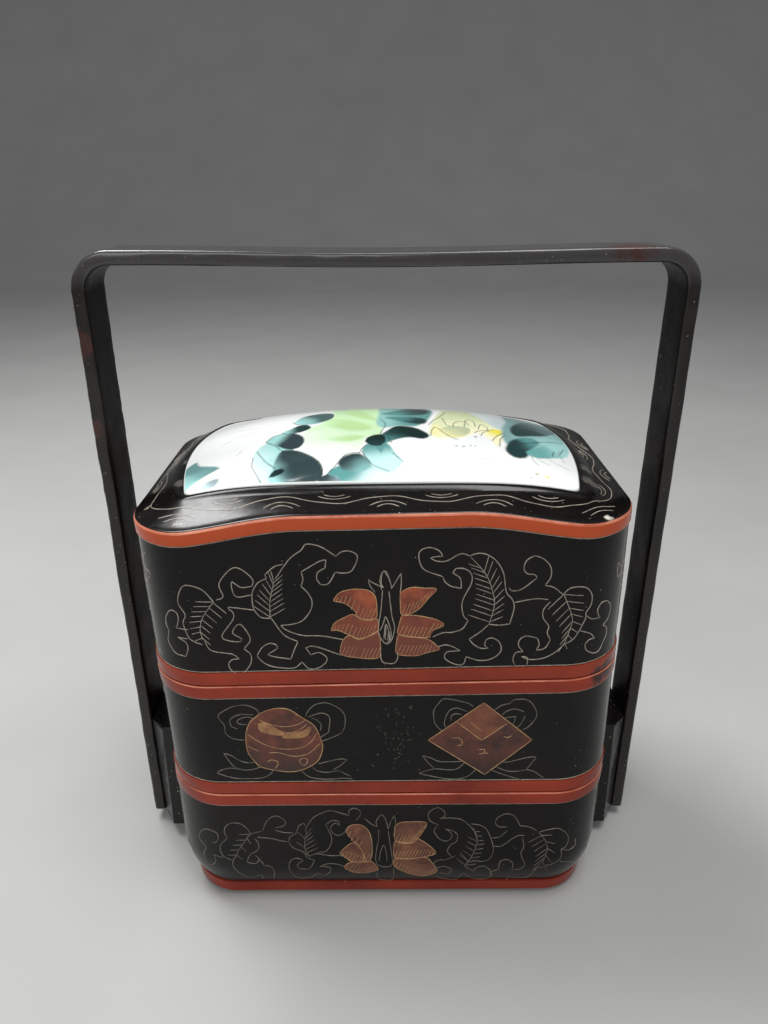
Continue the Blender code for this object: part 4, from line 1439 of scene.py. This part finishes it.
LID_BUD = [
    [(-1, 44.5), (-1, 48.5), (-0.5, 52), (1, 53), (3, 46.5), (3, 45)],
    [(3, 45), (5, 48.5), (7, 52)],
    [(7, 52), (7, 47.5), (6.5, 43)],
    [(-0.5, 44.5), (-1.5, 34.5), (-2.5, 28.5), (-2.5, 23.5), (-1, 20.5), (0.5, 19), (2.5, 20.5),
     (4, 26.5), (3, 32.5), (2, 44)],
    [(-2, 25.5), (-0.5, 29), (0.5, 32), (2.5, 25), (2, 21), (0.5, 19.5)],
    [(-0.5, 21.5), (0, 26), (0.5, 28.5), (1.5, 25), (1, 21)],
    [(-2, 16.5), (-2, 13), (-1.5, 10.5), (0.5, 9.5), (3.5, 9.5), (5, 12), (5, 15)],
    [(0.5, 28), (0, 21)],
    [(2, 25), (1.5, 19.5)],
    [(-6, 49.5), (-4.5, 48), (0, 45.5)],
    [(-6, 49.5), (-5.5, 46.5), (-3.5, 43.5)],
    [(0, 45.5), (-1.5, 48.5), (0, 53), (2, 50)],
]
BOTTOM_SCROLLS = [
    [(-80.5, 45), (-80.5, 41), (-83, 38.5), (-84, 38.5)],
    [(-80.5, 45), (-83, 46), (-86.5, 46), (-90, 42.5), (-91.5, 38), (-87.5, 34)],
    [(-87.5, 34), (-89.5, 29.5), (-89.5, 25.5), (-87.5, 22), (-84, 25), (-83, 28.5), (-84, 30.5)],
    [(-84, 30.5), (-79, 30)],
    [(-76, 42.5), (-77, 47), (-75.5, 50.5), (-72.5, 52), (-68.5, 51), (-65.5, 47), (-65, 44)],
    [(-76, 42.5), (-79.5, 38), (-80, 34), (-78.5, 30.5), (-75, 28.5)],
    [(-63, 42), (-61.5, 38.5), (-62.5, 34.5), (-66, 32), (-68, 27)],
    [(-68, 27), (-64, 26), (-62, 29), (-63.5, 31.5)],
    [(-62, 29), (-60.5, 26.5), (-60, 24.5)],
    [(-60, 24.5), (-56.5, 23.5), (-55.5, 18.5), (-56.5, 12)],
    [(-62, 11.5), (-62, 16.5), (-67.5, 14), (-71.5, 17.5), (-74.5, 23), (-74.5, 28), (-72.5, 31.5)],
    [(-65, 45), (-59, 47)],
    [(-59, 47), (-57.5, 51.5), (-55, 55), (-52, 56), (-49, 54), (-48, 51.5), (-50, 49.5), (-53, 49)],
    [(-53.5, 47.5), (-50, 46), (-45, 45.5)],
    [(-62, 43), (-55, 42), (-50.5, 40.5), (-47.5, 40)],
    [(-39.5, 51.5), (-42, 50), (-43.5, 45.5), (-46.5, 43), (-47, 39.5), (-45, 36), (-40.5, 34)],
    [(-39.5, 46.5), (-37.5, 51), (-35, 55), (-30.5, 58), (-26.5, 59), (-18.5, 56)],
    [(-18.5, 56), (-18.5, 59), (-16, 60.5), (-13.5, 59), (-13.5, 56), (-15.5, 53)],
    [(-19, 49.5), (-21.5, 45), (-24.5, 44), (-27, 46.5), (-27, 49.5), (-25, 51.5), (-23, 50)],
    [(-23, 50), (-23.5, 52.5), (-26.5, 53), (-29.5, 50.5)],
    [(-29.5, 50.5), (-27, 42.5), (-28, 37), (-30.5, 33.5), (-35, 32)],
    [(-40.5, 34), (-39, 30), (-35.5, 28)],
    [(-35.5, 28), (-38.5, 22), (-43, 22)],
    [(-43, 22), (-44, 25), (-41, 28)],
    [(-41, 28), (-43.5, 29.5), (-46.5, 28.5), (-48, 24), (-47, 17.5), (-43.5, 12.5), (-38, 14),
     (-34.5, 18)],
    [(-34.5, 18), (-31.5, 15.5), (-29, 18.5), (-28, 22), (-30.5, 23.5), (-33.5, 23.5)],
    [(-33.5, 23.5), (-29.5, 25.5), (-24.5, 25), (-21.5, 23)],
    [(-35, 32.5), (-28, 31), (-23, 31), (-20.5, 30)],
    [(23, 50), (19.5, 52), (18, 55.5), (19, 58.5), (22.5, 60.5), (25.5, 58), (25.5, 55), (23.5, 54)],
    [(23.5, 54), (30, 54), (35, 52), (41, 43), (40, 32.5), (36, 23)],
    [(38, 50.5), (42.5, 49.5), (46, 46), (49, 36.5), (49, 31.5), (47, 27.5), (43.5, 26.5), (39.5, 27.5)],
    [(23, 50), (21, 47), (22, 43.5), (24.5, 40.5), (27.5, 40), (29.5, 43), (28, 46), (26, 47.5)],
    [(26, 47.5), (30, 46), (32, 43.5), (31.5, 39.5), (29, 37.5), (27.5, 33.5), (29.5, 30)],
    [(31.5, 30.5), (27, 28), (23, 27.5), (20.5, 24.5)],
    [(33.5, 32.5), (37.5, 27)],
    [(36, 23), (40.5, 19)],
    [(40.5, 19), (42, 22), (45.5, 23), (48.5, 19.5), (49.5, 14), (46, 9.5), (40, 11.5), (35.5, 17.5)],
    [(35.5, 17.5), (32.5, 9), (28, 10), (23.5, 12.5)],
    [(22, 21.5), (26, 23), (30, 21)],
    [(30, 21), (28.5, 16.5), (24, 18)],
    [(48.5, 41.5), (52, 42.5), (55, 46)],
    [(55, 48.5), (51.5, 48.5), (49.5, 50.5), (50, 54), (54, 56.5), (58, 55), (61, 49)],
    [(61, 49), (65, 48.5), (69, 46)],
    [(49.5, 36.5), (53, 36.5), (59.5, 42.5), (63.5, 43)],
    [(70, 45), (74, 46.5), (79, 47), (83, 43.5), (85, 39), (84, 34.5), (81.5, 33.5)],
    [(81.5, 33.5), (82, 28), (78.5, 24.5), (70.5, 21)],
    [(70.5, 21), (68, 13), (64, 11), (58.5, 12), (57.5, 8)],
    [(62.5, 42), (63.5, 36), (62.5, 31.5), (65, 24)],
    [(65, 24), (63.5, 21), (59, 19.5)],
    [(59, 19.5), (59, 25), (56.5, 27.5), (53, 26.5), (52.5, 20.5)],
    [(52.5, 20.5), (49, 17.5), (50.5, 12.5)],
    [(81.5, 33.5), (86, 31.5), (89.5, 33), (89, 37.5)],
    [(81.5, 25.5), (89, 21.5), (90.5, 17), (84.5, 16)],
]
BOTTOM_LEAVES = [
    ([(-65.4, 44.8), (-68, 40.2), (-70.9, 35.4), (-72.9, 31)],
     (5, 0.02, (-4.9, -0.1), (-4.2, -0.1)), (3, 0.2, (1.6, -3.6), (2.7, -2.8))),
    ([(-39.4, 51.5), (-38.6, 46.7), (-39.8, 40), (-39.5, 34.2), (-37.4, 30.2)],
     (7, 0.35, (3.3, 4.7), (6.3, 3.2)), (3, 0.45, (-3.1, 3.9), (-5.0, 4.0))),
    ([(39.1, 48), (40.3, 44.2), (41.2, 39.3), (40.4, 33.5), (38.1, 27.5), (36.1, 23.1)],
     (9, 0.1, (2.4, 0.2), (5.2, 0.9)), (6, 0.33, (-4.3, 2.6), (-4.4, 4.8))),
    ([(70, 44.9), (72.8, 41), (74.6, 36.1), (74.5, 32.2), (73, 25)],
     (5, 0.12, (5.0, 0.2), (2.8, -6.6)), (7, 0.12, (-6.0, -4.4), (-4.4, -6.2))),
]
BOTTOM_PETALS = [
    [(-20, 45.5), (-19, 49), (-16, 50.5), (-12.5, 50), (-10, 47), (-8.5, 42.5), (-8, 35), (-9, 28),
     (-12, 27), (-12.5, 33), (-16, 39)],
    [(-23.5, 32.5), (-21, 36), (-16, 39.5), (-12.5, 33), (-11.5, 27), (-17, 26.5), (-20.5, 29.5)],
    [(-21.5, 22), (-20.5, 25), (-17, 27), (-11.5, 27), (-8.5, 27), (-5.5, 21.5), (-9.5, 18.5),
     (-16, 18)],
    [(2.5, 49), (5, 51.5), (10, 52), (14.5, 52), (17.5, 50.5), (13.5, 42), (9.5, 38.5), (3, 40.5)],
    [(2.5, 40), (9.5, 39), (13.5, 41.5), (22, 33), (17, 30), (9.5, 29), (2.5, 30)],
    [(2.5, 29), (9.5, 28.5), (17, 29.5), (20, 26.5), (23, 19.5), (19.5, 15.5), (15, 14.5), (9, 17.5),
     (2.5, 23.5)],
]
BOTTOM_BUD = [
    [(-5.5, 49), (-6, 52.5), (-3.5, 56.5), (-1.5, 53), (-0.5, 47.5)],
    [(-11.5, 54.5), (-8.5, 51), (-5.5, 49)],
    [(-0.5, 47.5), (1, 53), (2.5, 56)],
    [(2.5, 56), (3, 50), (2, 43.5)],
    [(-5, 47.5), (-5, 41.5), (-6, 35), (-6.5, 28), (-5, 24), (-1, 23), (1.5, 25.5), (0.5, 37),
     (-0.5, 46.5)],
    [(-5, 27), (-4, 34), (-2.5, 37.5), (-1.5, 33), (-1, 27)],
    [(-5.5, 21.5), (-6, 13), (-3.5, 9), (1, 9), (2, 13), (2, 21.5)],
    [(-9.5, 43.5), (-8, 37), (-9, 29)],
]
JAR_BODY = [
    [(-55.5, 45), (-57.5, 43), (-60, 40.5), (-62, 35), (-62.5, 29.5), (-62, 23.5), (-59.5, 18.5),
     (-57, 15.5), (-51, 13.5), (-44.5, 12.5), (-39, 13.5), (-34.5, 16), (-31, 19.5), (-29, 26),
     (-29.5, 30.5), (-31, 36), (-33, 39.5), (-35.5, 41.5), (-38.5, 44), (-42, 47), (-46.5, 48),
     (-51.5, 47)],
]
JAR_GOLD = [
    [(-56, 40), (-52.5, 40), (-48.5, 37), (-45.5, 35), (-45, 33.5), (-48, 33), (-52, 34), (-55, 35),
     (-56.5, 37)],
    [(-44, 34.5), (-37.5, 35.5), (-34, 38), (-33.5, 36), (-36, 32.5), (-41.5, 31.5), (-46.5, 32)],
]
JAR_LINES = [
    [(-55.5, 41.5), (-51.5, 39.5), (-45.5, 38), (-39.5, 39), (-35.5, 41.5)],
    [(-46.5, 34.5), (-41.5, 35), (-37.5, 37), (-35, 39.5)],
    [(-61.5, 34), (-57, 30), (-52, 27), (-45, 25.5), (-38, 26.5), (-33.5, 30), (-31, 34.5)],
    [(-62, 27.5), (-57.5, 24.5)],
    [(-53, 23.5), (-48.5, 23.5), (-42, 21.5), (-35.5, 23), (-30, 28.5)],
    [(-37.5, 20.5), (-36, 19.5), (-37, 16.5), (-38.5, 16.5), (-39.5, 18), (-39.5, 19.5), (-37.5, 20.5)],
    [(-54, 18.5), (-52, 19.5), (-49.5, 18.5), (-49.5, 16.5), (-51, 14.5)],
]
RIBBONS = [
    [(-55.5, 44.5), (-56, 47), (-58.5, 49), (-62, 50), (-67, 49), (-72.5, 45.5), (-73, 43), (-71, 39),
     (-71, 35), (-68.5, 32), (-65, 31), (-62.5, 31)],
    [(-58, 44.5), (-63, 45), (-67, 43.5), (-68.5, 41.5), (-68, 38.5), (-65.5, 37)],
    [(-58, 42.5), (-61, 43.5), (-64, 42.5), (-65.5, 41), (-64, 39.5), (-61, 39.5)],
    [(-35.5, 43.5), (-34, 46.5), (-31, 49.5), (-26.5, 50.5), (-23, 49), (-20, 46.5), (-18.5, 43.5),
     (-18.5, 39.5), (-19.5, 35.5), (-22, 33), (-29.5, 29.5)],
    [(-34.5, 43), (-29, 45), (-26, 44), (-25, 41.5), (-26, 34.5)],
    [(-26, 34.5), (-29.5, 32)],
    [(-33, 42.5), (-31, 41.5), (-29, 39), (-29.5, 35.5)],
    [(-73, 23.5), (-70, 22.5), (-66.5, 19.5), (-63, 18), (-58.5, 18.5)],
    [(-73, 23.5), (-69.5, 16.5), (-66, 14), (-61.5, 14), (-57, 15.5)],
    [(-66, 14), (-71, 15), (-75.5, 13.5), (-77, 12)],
    [(-77, 12), (-69, 9), (-58, 9), (-53.5, 11), (-51.5, 14)],
    [(-31.5, 17), (-22, 19.5), (-18.5, 19)],
    [(-18.5, 19), (-22, 15.5), (-25, 13.5)],
    [(-34.5, 15.5), (-32, 13), (-28, 12), (-22.5, 13)],
    [(-22.5, 13), (-19.5, 11), (-17, 9.5)],
    [(-16.5, 8), (-20.5, 8.5), (-27, 8), (-33, 8.5), (-36.5, 10), (-39.5, 13.5)],
    [(37, 47), (34.5, 49), (25, 51.5), (22, 49), (20, 45.5), (20, 41), (21, 37.5), (23.5, 34.5)],
    [(34.5, 44.5), (30, 46.5), (26.5, 45), (24.5, 39), (25.5, 35.5)],
    [(32, 43), (29.5, 43.5), (27.5, 42.5), (27.5, 40)],
    [(46, 45), (49, 47.5), (52.5, 48.5), (55, 50.5), (61, 49.5), (64.5, 42.5), (61.5, 36.5),
     (58.5, 34.5)],
    [(49.5, 42.5), (51.5, 44.5), (55, 45.5), (59, 44)],
    [(59.5, 42), (58, 38), (56, 35.5)],
    [(50.5, 41), (55.5, 41.5)],
    [(55.5, 41.5), (54.5, 37.5)],
    [(15, 21), (19, 19.5), (23, 17.5), (32.5, 17.5)],
    [(15, 21), (17.5, 17), (20.5, 13.5)],
    [(20.5, 13.5), (29.5, 13), (34, 17)],
    [(20.5, 13.5), (17, 12.5), (13.5, 11)],
    [(13.5, 11), (16.5, 10), (27, 7.5), (33, 8), (36.5, 10), (39, 13)],
    [(50.5, 17), (53.5, 17), (62, 19.5), (65.5, 19.5)],
    [(65.5, 19.5), (63.5, 16), (61.5, 12.5)],
    [(61.5, 12.5), (56.5, 11.5), (52.5, 12), (48.5, 14)],
    [(61.5, 12.5), (65, 11.5), (70, 7.5)],
    [(68, 6), (62, 6), (50, 10.5), (46, 12.5)],
]
DIAMOND = [
    [(41.5, 49), (63, 29), (43, 10), (17.5, 29.5)],
]
DIAMOND_TOP = [
    [(41.5, 49), (29.5, 39.5), (41, 29), (52, 38)],
]
DIAMOND_LINES = [
    [(41.5, 49), (17.5, 29.5)],
    [(17.5, 29.5), (43, 10)],
    [(43, 10), (63, 29)],
    [(63, 29), (41.5, 49)],
    [(29.5, 39.5), (41, 29)],
    [(41, 29), (52, 38)],
    [(35.5, 39), (41, 34)],
    [(50.5, 31), (52.5, 30.5), (54, 31.5)],
    [(28, 30.5), (31, 30.5), (32.5, 28.5), (32, 26.5), (30.5, 26.5)],
    [(40, 24), (42.5, 24), (42, 22), (40, 21.5)],
    [(42.5, 22), (44, 22)],
]


def leaf_veins(leaves):
    """Each leaf's rib with the slanting veins on its two sides."""
    strokes = []
    for spine, *sides in leaves:
        strokes.append(spine)
        rib = np.array(curve_through(spine, RIB_STEP))
        for count, begin, first, last in sides:
            for share in np.linspace(0.0, 1.0, count):
                root = rib[int((begin + (VEINS_END - begin) * share) * (len(rib) - 1))]
                reach = np.array(first) * (1.0 - share) + np.array(last) * share
                strokes.append([tuple(root), tuple(root + reach)])
    return strokes


def petal_hatching(petals):
    """Short slanting strokes that rise from the lower edge of each petal."""
    strokes = []
    for petal in petals:
        line = np.array(curve_through(petal, INLAY_STEP, closed=True))
        low, high = line[:, 0].min(), line[:, 0].max()
        for s in np.arange(low + HATCH_SPACING, high - HATCH_SPACING / 2, HATCH_SPACING):
            crossings = []
            for (x0, y0), (x1, y1) in zip(line, np.roll(line, -1, axis=0)):
                if (x0 - s) * (x1 - s) < 0.0:
                    crossings.append(y0 + (s - x0) * (y1 - y0) / (x1 - x0))
            if len(crossings) >= 2:
                foot = min(crossings)
                reach = min(HATCH_SHARE * (max(crossings) - foot), HATCH_REACH)
                lean = HATCH_LEAN * reach
                strokes.append([(s - lean, foot + HATCH_FOOT), (s + lean, foot + reach)])
    return strokes


def moved(shapes, along):
    """Shapes moved along the wall."""
    return [[(s + along, height) for s, height in shape] for shape in shapes]


def near(shapes, middle, reach):
    """The shapes that lie wholly within a stretch of the wall."""
    return [shape for shape in shapes if all(abs(s - middle) < reach for s, _ in shape)]


def round_the_box(shapes):
    """The front's vine again on the back, and its middle on both sides."""
    around = list(shapes) + moved(shapes, 2.0 * SIDE_MIDDLE)
    heart = near(shapes, 0.0, SIDE_REACH)
    return around + moved(heart, SIDE_MIDDLE) + moved(heart, -SIDE_MIDDLE)


def jars_round_the_box(shapes):
    """The jar's motif on the front, on the back and on both sides."""
    jar = near(shapes, JAR_MIDDLE, JAR_REACH)
    around = list(shapes) + moved(shapes, 2.0 * SIDE_MIDDLE)
    return around + moved(jar, SIDE_MIDDLE - JAR_MIDDLE) + moved(jar, -SIDE_MIDDLE - JAR_MIDDLE)


# For each tier its scrolls, leaves, bud and petals, the finish of its lines
# and of its petals, and the width of its stems and of its fine lines
VINES = {
    "lid": (LID_SCROLLS, LID_LEAVES, LID_BUD, LID_PETALS, "line", "petal", 0.55, 0.42),
    "bottom": (
        BOTTOM_SCROLLS, BOTTOM_LEAVES, BOTTOM_BUD, BOTTOM_PETALS,
        "dim_line", "worn_petal", 0.48, 0.38,
    ),
}
# The inlays of the middle tier, with their finish, lift and smoothing
INLAYS = (
    ("jar_inlay", JAR_BODY, "jar", INLAY_LIFT, True),
    ("jar_gold", JAR_GOLD, "gold", UPPER_LIFT, True),
    ("lozenge_inlay", DIAMOND, "jar", INLAY_LIFT, False),
    ("lozenge_top_inlay", DIAMOND_TOP, "lozenge_top", UPPER_LIFT, False),
)


def make_vine(tier, made):
    """A tier's vine in lines, and its petals as inlays with hatching."""
    scrolls, leaves, bud, petals, line_finish, petal_finish, stem, fine = VINES[tier]
    lines = Lines()
    for strokes, width in ((scrolls, stem), (leaf_veins(leaves), fine), (bud, stem)):
        lines.draw(tier, round_the_box(strokes), width)
    lines.make(tier + "_lines", made[line_finish])
    edges = Lines()
    edges.draw(tier, round_the_box([petal + petal[:1] for petal in petals]), fine)
    edges.draw(tier, round_the_box(petal_hatching(petals)), HATCH_WIDTH * fine)
    edges.make(tier + "_petal_lines", made["petal_line"])
    fill(tier + "_petals", tier, round_the_box(petals), made[petal_finish])


def make_scratches(finish):
    """The cluster of fine scratches between the jar and the lozenge."""
    random = np.random.default_rng(17)
    lines = Lines()
    for _ in range(SCRATCH_COUNT):
        s = random.normal(SCRATCH_MIDDLE, SCRATCH_SPREAD)
        height = random.uniform(*SCRATCH_HEIGHTS)
        slant, length = random.normal(0.0, SCRATCH_SLANT), random.uniform(*SCRATCH_LENGTHS)
        stroke = [(s, height), (s + slant * length, height + length)]
        lines.draw("middle", [stroke], random.uniform(*SCRATCH_WIDTHS))
    return lines.make("middle_scratches", finish)


def make_decoration(made):
    """All the scratches, lines and inlays on the walls."""
    make_scratches(made["dim_line"])
    make_vine("lid", made)
    make_vine("bottom", made)
    ribbons = Lines()
    ribbons.draw("middle", jars_round_the_box(RIBBONS), BOLD)
    ribbons.make("middle_lines", made["dim_line"])
    bright = Lines()
    jar_edge = [JAR_BODY[0] + JAR_BODY[0][:1]]
    for strokes, width in ((jar_edge, BOLD), (JAR_LINES, FINE), (DIAMOND_LINES, BOLD)):
        bright.draw("middle", jars_round_the_box(strokes), width)
    bright.make("middle_bright_lines", made["petal_line"])
    for name, shapes, finish, lift, smooth in INLAYS:
        fill(name, "middle", jars_round_the_box(shapes), made[finish], lift, smooth)


def make_ground():
    """A pale floor that sweeps up behind the box."""
    profile = [(FLOOR_FRONT, 0.0), (FLOOR_BACK, 0.0)]
    for step in range(1, SWEEP_STEPS + 1):
        angle = math.radians(90.0) * step / SWEEP_STEPS
        rise = SWEEP_RADIUS - SWEEP_RADIUS * math.cos(angle)
        profile.append((FLOOR_BACK + SWEEP_RADIUS * math.sin(angle), rise))
    profile.append((FLOOR_BACK + SWEEP_RADIUS, FLOOR_TOP))
    points = []
    for y, z in profile:
        points += [(-FLOOR_HALF_WIDTH, y, z), (FLOOR_HALF_WIDTH, y, z)]
    faces = [(a, a + 1, a + 3, a + 2) for a in range(0, len(points) - 2, 2)]
    mesh = bpy.data.meshes.new("studio_floor")
    mesh.from_pydata(points, [], faces)
    mesh.shade_smooth()
    material, tree, shader = new_material("pale_floor")
    tint = ramp(tree, noise(tree, 6.0, 3.0), [(0.3, colour(168, 168, 166)), (0.7, colour(174, 174, 172))])
    tree.links.new(tint, shader.inputs["Base Color"])
    shader.inputs["Roughness"].default_value = 0.75
    shader.inputs["Specular IOR Level"].default_value = 0.25
    mesh.materials.append(material)
    floor = bpy.data.objects.new("studio_floor", mesh)
    bpy.context.scene.collection.objects.link(floor)


def add_light(name, place, aim, size, power):
    """A rectangular lamp that points at a place."""
    data = bpy.data.lights.new(name, "AREA")
    data.shape = "RECTANGLE"
    data.size, data.size_y = size
    data.energy = power
    light = bpy.data.objects.new(name, data)
    light.location = place
    light.rotation_euler = (Vector(aim) - Vector(place)).to_track_quat("-Z", "Y").to_euler()
    bpy.context.scene.collection.objects.link(light)


def make_lights():
    """The three lamps and the soft light from all round."""
    for light in LIGHTS:
        add_light(*light)
    world = bpy.data.worlds.new("studio")
    world.use_nodes = True
    background = world.node_tree.nodes["Background"]
    background.inputs["Color"].default_value = SKY
    background.inputs["Strength"].default_value = SKY_STRENGTH
    bpy.context.scene.world = world


def make_camera():
    """The camera that fits the photograph."""
    data = bpy.data.cameras.new("camera")
    data.sensor_fit = "AUTO"
    data.sensor_width = SENSOR
    data.lens = FOCAL_PIXELS * SENSOR / FRAME_PIXELS
    data.clip_start = 0.02
    camera = bpy.data.objects.new("camera", data)
    pitch = Matrix.Rotation(math.radians(90.0 - CAMERA_PITCH), 4, "X")
    roll = Matrix.Rotation(math.radians(CAMERA_ROLL), 4, "Z")
    camera.matrix_world = Matrix.Translation(Vector(CAMERA_PLACE) * MM) @ pitch @ roll
    bpy.context.scene.collection.objects.link(camera)
    bpy.context.scene.camera = camera


def main():
    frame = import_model()
    scene = bpy.context.scene
    scene.view_settings.view_transform = "Standard"
    made = make_materials()
    make_ground()
    make_lights()
    make_camera()
    shell = [made[name] for name in ("black", "red", "border", "rubbed")]
    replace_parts(make_bottom(shell), "bottom_tier")
    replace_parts(make_middle(shell), "middle_tier")
    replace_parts(make_lid(shell), "lid")
    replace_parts(make_panel(made["glaze"]), "porcelain_panel")
    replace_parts(make_handle([made["handle"], made["handle_inside"]]), "handle")
    for name in ("left_spacer_block", "right_spacer_block"):
        block = frame["nodes"][name]
        block.data.materials.clear()
        block.data.materials.append(made["block"])
    band_lines(made["line"])
    make_border_waves(made["line"])
    make_decoration(made)


main()
